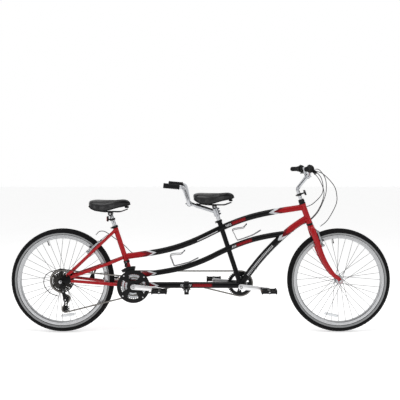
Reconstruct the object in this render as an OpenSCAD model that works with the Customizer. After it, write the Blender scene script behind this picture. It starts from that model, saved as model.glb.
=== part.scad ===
// Tandem bicycle for two riders, 26 inch wheels, steel frame, crossover timing drive on the left side.
// +X is forward, +Y is the riders' left, +Z is up. The origin is on the ground, midway between the axles.

/* [Wheels] */
// Distance between the two wheel axles
wheelbase = 1768; // [1740:1:1790]
// Outer radius of the tyres
tyre_r = 330; // [326:1:334]
// Width of the tyres
tyre_w = 48; // [42:1:50]
// Spokes in each wheel
spokes = 36; // [28:4:36]

/* [Frame] */
// Height of both bottom brackets
bb_z = 297; // [290:1:305]
// Place of the captain's bottom bracket along the frame
front_bb_x = 255; // [250:1:260]
// Distance between the two bottom brackets
bb_spacing = 681; // [676:1:686]
// Angle of both seat tubes from the ground
seat_angle = 71.6; // [71:0.1:72]
// Angle of the head tube from the ground
head_angle = 70.4; // [70:0.1:71]
// Radius of the top tube
top_tube_r = 19; // [16:0.5:20]
// Radius of the long lower tube
lower_tube_r = 17.5; // [15:0.5:19]
// Radius of the down tube
down_tube_r = 20; // [17:0.5:21]
// Radius of the boom tube between the bottom brackets
boom_r = 19.5; // [17:0.5:21]
// Radius of both seatposts
post_r = 13.6; // [12.5:0.1:13.6]

// Wall of the frame tubes
tube_wall = 1.8; // [1.2:0.1:2.5]

/* [Drive] */
// Length of each crank arm
crank_len = 170; // [165:1:175]
// Angle of the right cranks above the level, forward
crank_angle = -5; // [-8:1:0]
// Teeth of each timing ring
timing_teeth = 40; // [36:4:40]
// Teeth of the ring that carries the drive chain
ring_teeth = 28; // [28:4:32]
// Teeth of the sprocket that carries the drive chain
cog_teeth = 34; // [32:1:34]

/* [Controls] */
// Half the width of the captain's handlebar
bar_half = 300; // [290:1:310]
// Half the width of the stoker's handlebar
stoker_bar_half = 280; // [270:1:285]

/* [Hidden] */
FINE = 96;
SMOOTH = 48;
pitch = 12.7;
rear_axle_p = [-wheelbase / 2, 0, tyre_r];
front_axle_p = [wheelbase / 2, 0, tyre_r];
rear_bb = [front_bb_x - bb_spacing, 0, bb_z];
front_bb = [front_bb_x, 0, bb_z];
seat_dir = [-cos(seat_angle), 0, sin(seat_angle)];
// where a brake lever turns, ahead of the bar's middle and along the grip, and how far it hangs
pivot_y = 30;
pivot_z = 150;
pin_r = 3;
lever_tilt = 35;
head_mid = [675, 0, 755];
head_half = 66;
steerer_r = 14.3;
spindle_r = 7.5;
axle_r = 5;
hub_end_r = 10;
// the wheel axle seen from the middle of the head tube, across and along the steering axis
axle_local = [
  (front_axle_p[0] - head_mid[0]) * sin(head_angle) + (front_axle_p[2] - head_mid[2]) * cos(head_angle),
  0,
  (front_axle_p[2] - head_mid[2]) * sin(head_angle) - (front_axle_p[0] - head_mid[0]) * cos(head_angle)
];
captain_tube_len = 437;
stoker_tube_len = 399;
post_clear = 0.05;
rim_r = 287;
rim_inner_r = 265;
rear_dropout_y = 70;
front_dropout_y = 50;
chain_y = -40;
timing_y = 50;
arm_in = 66;
arm_t = 14;
idler_p = [-92, timing_y, 270];
guide_p = [-853, chain_y, 216];
tension_p = [-859, chain_y, 153];
pulley_teeth = 11;
idler_teeth = 13;
pedal_y = 132;

// knots of the curved tubes: place along the frame, height, slope in degrees
TOP_KNOTS = [[-478, 480, 8], [-240, 517, 12], [40, 618, 26.5], [320, 733, 16], [652, 795, 9]];
LOWER_KNOTS = [[-446, 355, 6], [-180, 393, 11], [95, 491, 27], [320, 584, 17], [548, 628, 7]];
DOWN_KNOTS = [[266, 313, 56], [440, 530, 46], [680, 725, 28]];

// the captain's handlebar, left half, and the straight that carries the grip
bar_clamp = [684, 0, 996];
grip_end = [630, bar_half, 1040];
grip_dir = [46, -135, 2] / norm([46, -135, 2]);
BAR_PATH = [
  bar_clamp, bar_clamp + [0, 42, 0], bar_clamp + [1, 62, 8], bar_clamp + [2, 100, 34],
  grip_end + 166 * grip_dir, grip_end + 150 * grip_dir, grip_end + [0, 0, 0]
];
// the stoker's handlebar, left half
STOKER_PATH = [
  [-72, 0, 818], [-72, 40, 818], [-76, 70, 826], [-84, 130, 858], [-95, 200, 900], [-102, 240, 921],
  [-112, stoker_bar_half - 18, 930], [-130, stoker_bar_half - 4, 934], [-215, stoker_bar_half + 2, 942]
];

// ---- helpers ----

function pitch_r(teeth) = pitch / (2 * sin(180 / teeth));
function unit(v) = v / norm(v);
function mirrored(p) = [for (q = p) [q[0], -q[1], q[2]]];

// a point on the cubic curve between two knots, each [x, z, slope]
function knot_point(a, b, t) =
  let (
    reach = norm([b[0] - a[0], b[1] - a[1]]),
    ta = reach * [cos(a[2]), sin(a[2])],
    tb = reach * [cos(b[2]), sin(b[2])],
    pa = [a[0], a[1]],
    pb = [b[0], b[1]],
    p = (2 * t ^ 3 - 3 * t ^ 2 + 1) * pa + (t ^ 3 - 2 * t ^ 2 + t) * ta
      + (3 * t ^ 2 - 2 * t ^ 3) * pb + (t ^ 3 - t ^ 2) * tb
  ) [p[0], 0, p[1]];

// a smooth path through knots, with so many steps between two of them
function knot_path(knots, steps) = [
  for (i = [0 : len(knots) - 2])
    for (k = [0 : steps - 1 + (i == len(knots) - 2 ? 1 : 0)])
      knot_point(knots[i], knots[i + 1], k / steps)
];

// a smooth path through points in space
function spline(p, steps) = [
  for (i = [0 : len(p) - 2])
    for (k = [0 : steps - 1 + (i == len(p) - 2 ? 1 : 0)])
      let (
        t = k / steps,
        a = p[max(i - 1, 0)],
        b = p[i],
        c = p[i + 1],
        d = p[min(i + 2, len(p) - 1)]
      ) 0.5 * (2 * b + (c - a) * t + (2 * a - 5 * b + 4 * c - d) * t ^ 2
        + (3 * b - a - 3 * c + d) * t ^ 3)
];

// one ring of points round each point of a path; ref is any direction that the path never runs along
function rings(path, r0, r1, sides, ref) =
  let (n = len(path)) [
    for (i = [0 : n - 1])
      let (
        t = unit(path[min(i + 1, n - 1)] - path[max(i - 1, 0)]),
        u = unit(cross(t, ref)),
        v = cross(u, t),
        r = r0 + (r1 - r0) * i / (n - 1)
      )
      for (k = [0 : sides - 1])
        path[i] + r * (cos(360 * k / sides) * u + sin(360 * k / sides) * v)
  ];

// the triangles between neighbouring rings, from point number first
function walls(n, sides, first) = [
  for (i = [0 : n - 2])
    for (k = [0 : sides - 1])
      let (
        a = first + i * sides + k,
        b = first + i * sides + (k + 1) % sides
      )
      for (f = [[a, b, b + sides], [a, b + sides, a + sides]]) f
];

function flipped(faces) = [for (f = faces) [f[0], f[2], f[1]]];

// a solid cord or bar along a path
module sweep(path, r0, r1, sides = 24, ref = [0, 1, 0]) {
  n = len(path);
  start = [for (k = [0 : sides - 1]) sides - 1 - k];
  end = [for (k = [0 : sides - 1]) (n - 1) * sides + k];
  polyhedron(rings(path, r0, r1, sides, ref), concat(walls(n, sides, 0), [start, end]), convexity = 6);
}

// an open tube along a path, with a wall
module tube_sweep(path, r0, r1, wall, sides = 16, ref = [0, 1, 0]) {
  n = len(path);
  inner = n * sides;
  ends = [
    for (base = [0, (n - 1) * sides])
      for (k = [0 : sides - 1])
        let (
          a = base + k,
          b = base + (k + 1) % sides,
          flip = base > 0
        )
        for (f = [[a, a + inner, b + inner], [a, b + inner, b]]) flip ? [f[0], f[2], f[1]] : f
  ];
  polyhedron(
    concat(rings(path, r0, r1, sides, ref), rings(path, r0 - wall, r1 - wall, sides, ref)),
    concat(walls(n, sides, 0), flipped(walls(n, sides, inner)), ends),
    convexity = 8
  );
}

// a straight round bar from a to b
module rod(a, b, r, fn = SMOOTH) {
  d = b - a;
  translate(a)
    rotate([0, acos(d[2] / norm(d)), atan2(d[1], d[0])])
      cylinder(r = r, h = norm(d), $fn = fn);
}

// a straight tube from a to b
module tube(a, b, r, wall) {
  over = 2 * unit(b - a);
  difference() {
    rod(a, b, r);
    rod(a - over, b + over, r - wall);
  }
}

// a cylinder along Y, from y0 to y1, about a point
module across(p, y0, y1, r, fn = SMOOTH) {
  translate([p[0], y0, p[2]])
    rotate([-90, 0, 0])
      cylinder(r = r, h = y1 - y0, $fn = fn);
}

// a washer along Y
module ring_across(p, y0, y1, outer, inner, fn = SMOOTH) {
  difference() {
    across(p, y0, y1, outer, fn);
    across(p, y0 - 1, y1 + 1, inner, fn);
  }
}

// children in the steering frame: +Z up the steering axis, +X forward of it
module on_steering() {
  translate(head_mid)
    rotate([0, head_angle - 90, 0])
      children();
}

// children in the frame of a seat tube: +Z up the tube from its bottom bracket
module on_seat_tube(bb) {
  translate(bb)
    rotate([0, seat_angle - 90, 0])
      children();
}

// children with +X at an angle above the level about a point
module turned(p, angle) {
  translate(p)
    rotate([0, -angle, 0])
      children();
}

// both sides, mirrored in the bicycle's middle plane
module both_sides() {
  for (s = [1, -1])
    scale([1, s, 1])
      children();
}

// a wheel section [radius, width] points turned about the axle
module lathe(p, outline, fn = FINE) {
  translate(p)
    rotate([90, 0, 0])
      rotate_extrude($fn = fn)
        polygon(outline);
}

// a toothed ring of a chain drive, thin, with a hole
module sprocket(p, y, teeth, thick, hole) {
  r = pitch_r(teeth);
  outline = [
    for (i = [0 : teeth - 1])
      for (q = [[-0.3, -3.6], [-0.13, 3.6], [0.13, 3.6], [0.3, -3.6]])
        (r + q[1]) * [cos((i + q[0]) * 360 / teeth), sin((i + q[0]) * 360 / teeth)]
  ];
  translate([p[0], y + thick / 2, p[2]])
    rotate([90, 0, 0])
      linear_extrude(thick)
        difference() {
          polygon(outline);
          circle(r = hole, $fn = SMOOTH);
        }
}

// ---- the two chains: a path round circles, each [x, z, radius, turn]; turn is 1 left-handed, -1 right ----

function run_angle(a, b) =
  let (d = [b[0] - a[0], b[1] - a[1]])
  atan2(d[1], d[0]) - asin((b[3] * b[2] - a[3] * a[2]) / norm(d));

function positive(angle) = angle - 360 * floor(angle / 360);

function wrap_points(c, from, to, off) =
  let (
    sweep_by = c[3] > 0 ? positive(to - from) : -positive(from - to),
    steps = max(2, ceil(abs(sweep_by) / 7.5))
  ) [
    for (k = [0 : steps])
      let (
        a = from + sweep_by * k / steps,
        r = c[3] * c[2] + off
      ) [c[0] + r * sin(a), c[1] - r * cos(a)]
  ];

function loop_points(circles, off) =
  let (n = len(circles)) [
    for (i = [0 : n - 1])
      let (
        before = circles[(i + n - 1) % n],
        c = circles[i],
        after = circles[(i + 1) % n]
      )
      for (q = wrap_points(c, run_angle(before, c), run_angle(c, after), off)) q
  ];

DRIVE_LOOP = [
  [rear_bb[0], bb_z, pitch_r(ring_teeth), -1],
  [tension_p[0], tension_p[2], pitch_r(pulley_teeth), -1],
  [guide_p[0], guide_p[2], pitch_r(pulley_teeth), 1],
  [rear_axle_p[0], tyre_r, pitch_r(cog_teeth), -1]
];
TIMING_LOOP = [
  [front_bb[0], bb_z, pitch_r(timing_teeth), -1],
  [idler_p[0], idler_p[2], pitch_r(idler_teeth), 1],
  [rear_bb[0], bb_z, pitch_r(timing_teeth), -1]
];

// the two lines of side plates of a chain
module chain_plates(circles, y) {
  for (side = [-3.2, 2])
    translate([0, y + side + 1.2, 0])
      rotate([90, 0, 0])
        linear_extrude(1.2)
          difference() {
            polygon(loop_points(circles, -4));
            polygon(loop_points(circles, 4));
          }
}

module drive_chain() {
  color("dimgray") chain_plates(DRIVE_LOOP, chain_y);
}

module timing_chain() {
  color("dimgray") chain_plates(TIMING_LOOP, timing_y);
}

// ---- frame tubes ----

module head_tube() {
  color("firebrick")
    on_steering()
      difference() {
        translate([0, 0, -head_half])
          cylinder(r = 18.5, h = 2 * head_half, $fn = SMOOTH);
        translate([0, 0, -head_half - 1])
          cylinder(r = 15.5, h = 2 * head_half + 2, $fn = SMOOTH);
      }
}

// the space that both seat tubes and the head tube keep to themselves
module tube_cores() {
  on_seat_tube(front_bb)
    cylinder(r = 15.4, h = captain_tube_len, $fn = SMOOTH);
  on_steering()
    translate([0, 0, -head_half - 10])
      cylinder(r = 18.4, h = 2 * head_half + 20, $fn = SMOOTH);
}

module top_tube() {
  color("black")
    difference() {
      tube_sweep(knot_path(TOP_KNOTS, 5), top_tube_r, top_tube_r, tube_wall);
      tube_cores();
    }
}

module lower_tube() {
  color("black")
    tube_sweep(knot_path(LOWER_KNOTS, 5), lower_tube_r, lower_tube_r, tube_wall);
}

module down_tube() {
  color("black")
    difference() {
      tube_sweep(knot_path(DOWN_KNOTS, 6), down_tube_r, down_tube_r, tube_wall);
      tube_cores();
    }
}

module boom_tube() {
  color("black")
    tube(rear_bb + [20, 0, -1], front_bb + [-20, 0, -1], boom_r, tube_wall);
}

module seat_tube(bb, length, r) {
  on_seat_tube(bb)
    difference() {
      translate([0, 0, 19])
        cylinder(r = r, h = length - 19, $fn = SMOOTH);
      cylinder(r = post_r + post_clear, h = length + 1, $fn = SMOOTH);
    }
}

module captain_seat_tube() {
  color("black") seat_tube(front_bb, captain_tube_len, 15.5);
}

module stoker_seat_tube() {
  color("firebrick") seat_tube(rear_bb, stoker_tube_len, 16);
}

module bottom_brackets() {
  color("firebrick")
    for (bb = [rear_bb, front_bb])
      ring_across(bb, -34, 34, 21, 17.5);
}

STAY_FOOT = rear_axle_p + [38, 65, 36];
STAY_TOP = rear_bb + 372 * seat_dir + [-3, 25, 0];
stay_rise = 43;

// the seat stays with the bridge and the two brake bosses between them
module seat_stays() {
  bridge = STAY_TOP + 0.13 * (STAY_FOOT - STAY_TOP);
  color("firebrick") {
    both_sides() {
      tube(STAY_FOOT, STAY_TOP, 9.5, 1.5);
      on_rear_brake()
        brake_boss(-9);
    }
    across([bridge[0], 0, bridge[2]], -bridge[1] + 9, bridge[1] - 9, 7);
  }
}

module middle_stays() {
  path = spline([[-834, 65, 352], [-740, 56, 384], [-640, 45, 420], [-570, 36, 445], [-497, 14, 473]], 3);
  color("firebrick") {
    tube_sweep(path, 9, 10.5, 1.5, 12, [0, 0, 1]);
    tube_sweep(mirrored(path), 9, 10.5, 1.5, 12, [0, 0, 1]);
  }
}

module chain_stays() {
  path = spline([
    [-829, 65, 334], [-760, 60, 328], [-640, 47, 316], [-560, 38, 308], [-500, 29, 302], [-444, 20, 297]
  ], 3);
  color("firebrick") {
    tube_sweep(path, 9, 11.5, 1.5, 12, [0, 0, 1]);
    tube_sweep(mirrored(path), 9, 11.5, 1.5, 12, [0, 0, 1]);
    both_sides()
      dropout();
  }
}

// the flat end plate that holds the rear axle
module dropout() {
  translate([rear_axle_p[0], rear_dropout_y + 5, rear_axle_p[2]])
    rotate([90, 0, 0])
      linear_extrude(5)
        difference() {
          union() {
            circle(r = 17, $fn = SMOOTH);
            polygon([[-4, 16], [28, 44], [46, 46], [64, 26], [66, -4], [40, -14], [0, -17]]);
          }
          circle(r = 5.1, $fn = SMOOTH);
        }
}

// ---- small things bolted or pressed on the frame ----

// a split collar that clamps a seat tube on its post
module seat_collar(bb, length, r) {
  on_seat_tube(bb)
    translate([0, 0, length - 13]) {
      difference() {
        cylinder(r = r + 3.2, h = 14, $fn = SMOOTH);
        translate([0, 0, -1])
          cylinder(r = r, h = 16, $fn = SMOOTH);
        translate([-30, -1.5, -1])
          cube([20, 3, 16]);
      }
      for (y = [1.6, -7.6])
        translate([-r - 13, y, 1])
          cube([10.5, 6, 12]);
    }
}

module headset_cups() {
  on_steering() {
    for (z = [head_half, -head_half - 12])
      translate([0, 0, z])
        difference() {
          cylinder(r = 21, h = 12, $fn = SMOOTH);
          translate([0, 0, -1])
            cylinder(r = steerer_r + post_clear, h = 14, $fn = SMOOTH);
        }
  }
}

// a band on the stoker's seat tube with the fixed arm of the front derailleur
module derailleur_band() {
  on_seat_tube(rear_bb)
    translate([0, 0, 150]) {
      difference() {
        cylinder(r = 19.5, h = 16, $fn = SMOOTH);
        translate([0, 0, -1])
          cylinder(r = 16, h = 18, $fn = SMOOTH);
      }
      translate([-6, -30, 2])
        cube([12, 12, 12]);
    }
}

// the plate that spans the left middle stay and chain stay
module stay_bracket() {
  translate([-702, 58, 360])
    rotate([0, 12, 0]) {
      translate([-17, 0, -34])
        cube([34, 5, 68]);
      translate([0, 4, -12])
        rotate([-90, 0, 0])
          cylinder(r = 6, h = 5, $fn = 6);
    }
}

// the plate under the right dropout that carries the rear derailleur
module derailleur_hanger() {
  translate([rear_axle_p[0], -rear_dropout_y - 5, rear_axle_p[2]])
    rotate([90, 0, 0])
      linear_extrude(4)
        difference() {
          union() {
            circle(r = 15, $fn = SMOOTH);
            polygon([[-13, -8], [13, -6], [28, -30], [22, -42], [6, -40]]);
          }
          circle(r = 5.1, $fn = SMOOTH);
        }
  across([-866, 0, 298], -92, -79, 11);
}

module frame_fittings() {
  color("dimgray") {
    seat_collar(front_bb, captain_tube_len, 15.5);
    seat_collar(rear_bb, stoker_tube_len, 16);
    headset_cups();
    derailleur_band();
    stay_bracket();
    derailleur_hanger();
    for (bb = [rear_bb, front_bb])
      for (y = [-36, 23])
        ring_across(bb, y, y + 13, 17.4, spindle_r + post_clear);
  }
}

// a wire bottle cage; x along the tube, z away from it
module bottle_cage() {
  wire = [
    [98, -1, 17], [96, 16, 16], [60, 14, 8], [30, 11, 4], [-52, 11, 4], [-64, 18, 12], [-68, 26, 46],
    [-70, 33, 76], [-40, 37, 76], [-4, 34, 69], [14, 18, 76], [26, -1, 84]
  ];
  sweep(spline(wire, 2), 2.4, 2.4, 8, [1, 0.4, 0.3]);
  sweep(mirrored(spline(wire, 2)), 2.4, 2.4, 8, [1, -0.4, 0.3]);
  translate([-46, -11, 1])
    cube([92, 22, 3.2]);
}

module bottle_cages() {
  color("silver") {
    translate([-108, 0, 431])
      rotate([0, -14, 0])
        bottle_cage();
    translate([296, 0, 600])
      rotate([0, -19, 0])
        bottle_cage();
  }
}

// the clamp under the boom with the slotted plate and the pin of the idler
module idler_bracket() {
  color("dimgray") {
    difference() {
      rod([idler_p[0] - 16, 0, bb_z - 1], [idler_p[0] + 16, 0, bb_z - 1], boom_r + 5);
      rod([idler_p[0] - 17, 0, bb_z - 1], [idler_p[0] + 17, 0, bb_z - 1], boom_r);
    }
    difference() {
      translate([idler_p[0] - 15, 24, 238])
        cube([30, 6, 58]);
      translate([idler_p[0] - 4.5, 23, 244])
        cube([9, 8, 21]);
    }
    across(idler_p, 29, timing_y + 9, 4);
  }
}

// ---- cables held along the frame ----

REAR_BRAKE_CABLE = [
  [-432, 22, 494], [-458, 25, 512], [-498, 26, 552], [-545, 24, 586], [-590, 18, 620], [-622, 8, 640],
  [-650, -8, 640], [-668, -24, 620]
];
DERAILLEUR_HOUSING = [
  [-752, -74, 389], [-800, -84, 404], [-860, -90, 409], [-920, -92, 403], [-966, -92, 380],
  [-984, -92, 340], [-976, -92, 300], [-945, -92, 264], [-905, -90, 247], [-886, -88, 243]
];

// a straight run of bare cable beside a curved tube: out is how far below the tube's middle, y how far left
function beside(path, out, y) = [
  for (i = [1 : len(path) - 2])
    path[i] - out * cross(unit(path[i + 1] - path[i - 1]), [0, 1, 0]) + [0, y, 0]
];

module frame_cables() {
  color("black") {
    sweep(spline(REAR_BRAKE_CABLE, 3), 2.5, 2.5, 8, [0.3, 1, 0.2]);
    sweep(spline(DERAILLEUR_HOUSING, 2), 2.5, 2.5, 8);
    sweep(beside(knot_path(TOP_KNOTS, 5), 0, 22), 2, 2, 8);
    for (y = [6, -6])
      sweep(beside(knot_path(DOWN_KNOTS, 6), 22, y), 2, 2, 8);
  }
}

// ---- fork, stem and handlebar ----

module fork() {
  foot = axle_local;
  blade = spline([
    [1, 22, -92], [0, 36, -104], [0, 43, -130], [0, 45, -200], [1, 46, -280], [9, 49, -345],
    [28, 53, -418], [foot[0] - 4, 56, foot[2] + 16]
  ], 2);
  color("firebrick")
    on_steering() {
      difference() {
        union() {
          translate([0, 0, -80])
            cylinder(r = steerer_r, h = 80 + head_half + 22, $fn = SMOOTH);
          translate([0, 0, -112])
            cylinder(r = 21, h = 33, $fn = SMOOTH);
          translate([0, 0, head_half + 13])
            cylinder(r = 20, h = 16, $fn = SMOOTH);
        }
        translate([0, 0, -85])
          cylinder(r = 11.15, h = 200, $fn = SMOOTH);
      }
      tube_sweep(blade, 15, 9.5, 2, 12, [1, 0, 0]);
      tube_sweep(mirrored(blade), 15, 9.5, 2, 12, [1, 0, 0]);
      both_sides()
        difference() {
          translate([foot[0], front_dropout_y + 5, foot[2]])
            rotate([90, 0, 0])
              linear_extrude(5)
                union() {
                  circle(r = 13, $fn = SMOOTH);
                  polygon([[-13, 2], [-12, 26], [2, 24], [13, 0]]);
                }
          across(foot, front_dropout_y - 1, front_dropout_y + 6, 5.1);
        }
    }
  color("firebrick")
    both_sides()
      on_front_brake()
        brake_boss(-14);
}

STEM_BEND = 168;

module stem() {
  bend = head_mid + STEM_BEND * [-cos(head_angle), 0, sin(head_angle)];
  color("silver") {
    on_steering() {
      translate([0, 0, 10])
        cylinder(r = 11.1, h = STEM_BEND - 10, $fn = SMOOTH);
      translate([0, 0, STEM_BEND])
        sphere(r = 11.8, $fn = SMOOTH);
    }
    difference() {
      union() {
        rod(bend, bar_clamp - [4, 0, 5], 11.1);
        across(bar_clamp, -21, 21, 18);
      }
      across(bar_clamp, -22, 22, 12.75);
    }
  }
}

module handlebar() {
  half = concat(
    [bar_clamp + [0, 0, 0]],
    spline([for (i = [1 : len(BAR_PATH) - 1]) BAR_PATH[i]], 3)
  );
  whole = concat([for (i = [len(half) - 1 : -1 : 1]) [half[i][0], -half[i][1], half[i][2]]], half);
  color("silver") {
    tube_sweep(whole, 11, 11, 2, 10, [1, 0, 0]);
    ring_across(bar_clamp, -21, 21, 12.7, 10);
  }
}

// children along the left grip: +Z from the grip's end towards the middle of the bar
module on_grip() {
  translate(grip_end)
    rotate([0, acos(grip_dir[2]), atan2(grip_dir[1], grip_dir[0])])
      children();
}

module sleeve(z0, z1, outer, inner) {
  translate([0, 0, z0])
    difference() {
      cylinder(r = outer, h = z1 - z0, $fn = SMOOTH);
      translate([0, 0, -1])
        cylinder(r = inner, h = z1 - z0 + 2, $fn = SMOOTH);
    }
}

// children in the frame of the left lever: +Z as on_grip, +Y ahead and below, +X along the lever's pin
module on_lever() {
  on_grip()
    rotate([0, 0, -lever_tilt])
      children();
}

// a pin or hole along a lever's pivot, across the lever
module lever_pin(half, r) {
  translate([-half, pivot_y, pivot_z])
    rotate([0, 90, 0])
      cylinder(r = r, h = 2 * half, $fn = SMOOTH);
}

module grips_and_mounts() {
  color("black")
    both_sides() {
      on_grip() {
        sleeve(0, 84, 15.5, 11.2);
        translate([0, 0, -3])
          cylinder(r = 15.5, h = 3, $fn = SMOOTH);
      }
      on_lever()
        difference() {
          union() {
            translate([0, 0, 140])
              cylinder(r = 16, h = 20, $fn = SMOOTH);
            translate([-9, 8, 141])
              cube([18, 29, 18]);
          }
          translate([0, 0, 139])
            cylinder(r = 11.2, h = 22, $fn = SMOOTH);
          translate([-4.4, 20, 139])
            cube([8.8, 20, 22]);
          lever_pin(12, pin_r + post_clear);
        }
    }
}

module shifter() {
  on_grip() {
    sleeve(86, 124, 18.5, 11.3);
    sleeve(124, 138, 25, 11.3);
  }
}

module left_shifter() {
  color("black") shifter();
}

module right_shifter() {
  color("black") scale([1, -1, 1]) shifter();
}

module brake_lever() {
  on_lever()
    difference() {
      union() {
        lever_pin(4, 7);
        rotate([90, 0, 90])
          translate([0, 0, -4])
            linear_extrude(8)
              polygon([[28, 156], [37, 154], [52, 136], [51, 46], [44, 46], [44, 132], [26, 145]]);
      }
      lever_pin(5, pin_r - 0.4);
    }
  on_lever()
    lever_pin(9, pin_r);
}

module left_brake_lever() {
  color("black") brake_lever();
}

module right_brake_lever() {
  color("black") scale([1, -1, 1]) brake_lever();
}

module front_reflector() {
  color("black")
    on_steering()
      difference() {
        union() {
          translate([0, 0, 122])
            cylinder(r = 15, h = 14, $fn = SMOOTH);
          translate([10, -5, 124])
            cube([26, 10, 10]);
          translate([34, -24, 112])
            cube([11, 48, 34]);
        }
        translate([0, 0, 121])
          cylinder(r = 11.15, h = 16, $fn = SMOOTH);
      }
}

STEERING_CABLES = [
  [[709, -134, 1027], [724, -104, 1022], [762, -60, 984], [784, -8, 925], [779, 22, 874], [727, 38, 816],
    [676, 35, 794], [638, 24, 791]],
  [[699, 184, 1040], [728, 184, 1034], [776, 130, 984], [802, 70, 905], [792, 44, 842], [754, 36, 765],
    [700, 33, 708], [664, 15, 692]],
  [[699, -184, 1040], [730, -180, 1034], [784, -80, 980], [808, 10, 905], [798, 50, 836], [758, 46, 758],
    [702, 40, 702], [660, 2, 688]],
  [[709, 134, 1027], [730, 104, 1030], [796, 74, 1010], [862, 50, 938], [880, 34, 874], [872, 22, 809],
    [817, 12, 713], [768, 8, 672]]
];

module steering_cables() {
  color("black")
    for (route = STEERING_CABLES)
      sweep(spline(route, 2), 2.5, 2.5, 8, [0.1, 1, 0.25]);
}

// ---- wheels ----

module tyre(p) {
  w = tyre_w / 2;
  color("dimgray")
    lathe(p, [
      [rim_r - 4, 9], [rim_r - 1, 13], [rim_r + 5, 19], [rim_r + 14, w], [tyre_r - 18, w],
      [tyre_r - 7, w - 5], [tyre_r - 2, w - 13], [tyre_r, 0], [tyre_r - 2, 13 - w],
      [tyre_r - 7, 5 - w], [tyre_r - 18, -w], [rim_r + 14, -w], [rim_r + 5, -19],
      [rim_r - 1, -13], [rim_r - 4, -9], [rim_r + 2, -8], [rim_r + 12, -w + 6],
      [tyre_r - 16, -w + 5], [tyre_r - 8, 0], [tyre_r - 16, w - 5], [rim_r + 12, w - 6],
      [rim_r + 2, 8]
    ]);
}

module rim(p) {
  color("silver")
    lathe(p, [
      [rim_inner_r, 8], [rim_inner_r + 5, 14], [rim_r, 14], [rim_r, 12.4], [rim_r - 8, 12.4],
      [rim_r - 10, 8], [rim_r - 10, -8], [rim_r - 8, -12.4], [rim_r, -12.4], [rim_r, -14],
      [rim_inner_r + 5, -14], [rim_inner_r, -8]
    ]);
}

// hub shell with its two flanges at left and right, ends at +-end, and the tensioned spokes
module hub(p, flange_r, left, right, end, end_r) {
  per_side = spokes / 2;
  step = 360 / per_side;
  color("silver") {
    difference() {
      union() {
        across(p, -end, end, end_r);
        across(p, right + 1, left - 1, 15);
        across(p, left - 3, left, flange_r + 5);
        across(p, right, right + 3, flange_r + 5);
      }
      across(p, -end - 1, end + 1, axle_r + post_clear);
    }
    for (i = [0 : per_side - 1])
      for (s = [1, -1]) {
        lead = (i % 2 == 0 ? 1 : -1) * 62;
        at_rim = i * step + (s > 0 ? 0 : step / 2);
        at_hub = at_rim + lead;
        y = s > 0 ? left - 1.5 : right + 1.5;
        rod(
          p + [flange_r * cos(at_hub), y, flange_r * sin(at_hub)],
          p + [(rim_inner_r + 1) * cos(at_rim), s * 3, (rim_inner_r + 1) * sin(at_rim)],
          1.05,
          16
        );
      }
  }
}

module front_tyre() {
  tyre(front_axle_p);
}

module rear_tyre() {
  tyre(rear_axle_p);
}

module front_rim() {
  rim(front_axle_p);
}

module rear_rim() {
  rim(rear_axle_p);
}

module front_hub() {
  hub(front_axle_p, 19, 33, -33, 41, 12);
}

module rear_hub() {
  hub(rear_axle_p, 22, 34, -27, 60, hub_end_r);
}

// a threaded axle with its cones and outer nuts; spacer is what the right nut also holds
module axle(p, inner_face, plate, cone_y, spacer) {
  out = inner_face + plate;
  color("silver") {
    across(p, -out - spacer - 20, out + 20, axle_r);
    across(p, out, out + 11, 8.7, 6);
    across(p, -out - spacer - 11, -out - spacer, 8.7, 6);
    across(p, cone_y, inner_face, 7.5);
    across(p, -inner_face, -cone_y, 7.5);
  }
}

module front_axle() {
  axle(front_axle_p, front_dropout_y, 5, 41.5, 0);
}

module rear_axle() {
  axle(rear_axle_p, rear_dropout_y, 5, 61, 4);
}

// ---- drive ----

COGS = [[cog_teeth, -40], [28, -44.5], [24, -49], [21, -53.5], [18, -58], [16, -62.5], [14, -67]];

module freewheel() {
  color("dimgray")
    difference() {
      union() {
        for (c = COGS)
          sprocket(rear_axle_p, c[1], c[0], 1.8, 15);
        across(rear_axle_p, -59, -30, 20);
        across(rear_axle_p, -68.2, -58, 17);
      }
      across(rear_axle_p, -72, -20, hub_end_r + post_clear);
    }
}

// two arms on a square-ended spindle; the right arm points forward at crank_angle
module cranks(bb) {
  turned(bb, crank_angle) {
    translate([0, -arm_in - arm_t, 0])
      rotate([-90, 0, 0])
        cylinder(r = spindle_r, h = 2 * (arm_in + arm_t), $fn = SMOOTH);
    for (s = [1, -1])
      scale([s, -s, 1])
        difference() {
          translate([0, arm_in + arm_t, 0])
            rotate([90, 0, 0])
              linear_extrude(arm_t)
                union() {
                  circle(r = 17, $fn = SMOOTH);
                  translate([crank_len, 0])
                    circle(r = 13, $fn = SMOOTH);
                  polygon([[0, 16], [crank_len, 11.5], [crank_len, -11.5], [0, -16]]);
                }
          translate([0, arm_in - 1, 0])
            rotate([-90, 0, 0])
              cylinder(r = spindle_r, h = arm_t + 2, $fn = SMOOTH);
        }
    for (s = [1, -1])
      translate([s * crank_len, 0, 0])
        rotate([s * 90, 0, 0])
          translate([0, 0, arm_in + arm_t - 0.5])
            cylinder(r = 5, h = 96, $fn = SMOOTH);
  }
}

module front_cranks() {
  color("silver") cranks(front_bb);
}

module rear_cranks() {
  color("silver") cranks(rear_bb);
}

// a timing ring with four spokes, riding on the left arm's boss
module timing_ring(bb) {
  r = pitch_r(timing_teeth);
  difference() {
    union() {
      sprocket(bb, timing_y, timing_teeth, 2.2, r - 16);
      for (a = [0 : 90 : 270])
        turned(bb, a)
          translate([10, timing_y - 1.1, -9])
            cube([r - 20, 2.2, 18]);
      across(bb, timing_y - 1.1, arm_in, 18);
    }
    across(bb, timing_y - 10, timing_y + 40, spindle_r);
  }
}

module front_timing_ring() {
  color("dimgray") timing_ring(front_bb);
}

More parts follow.
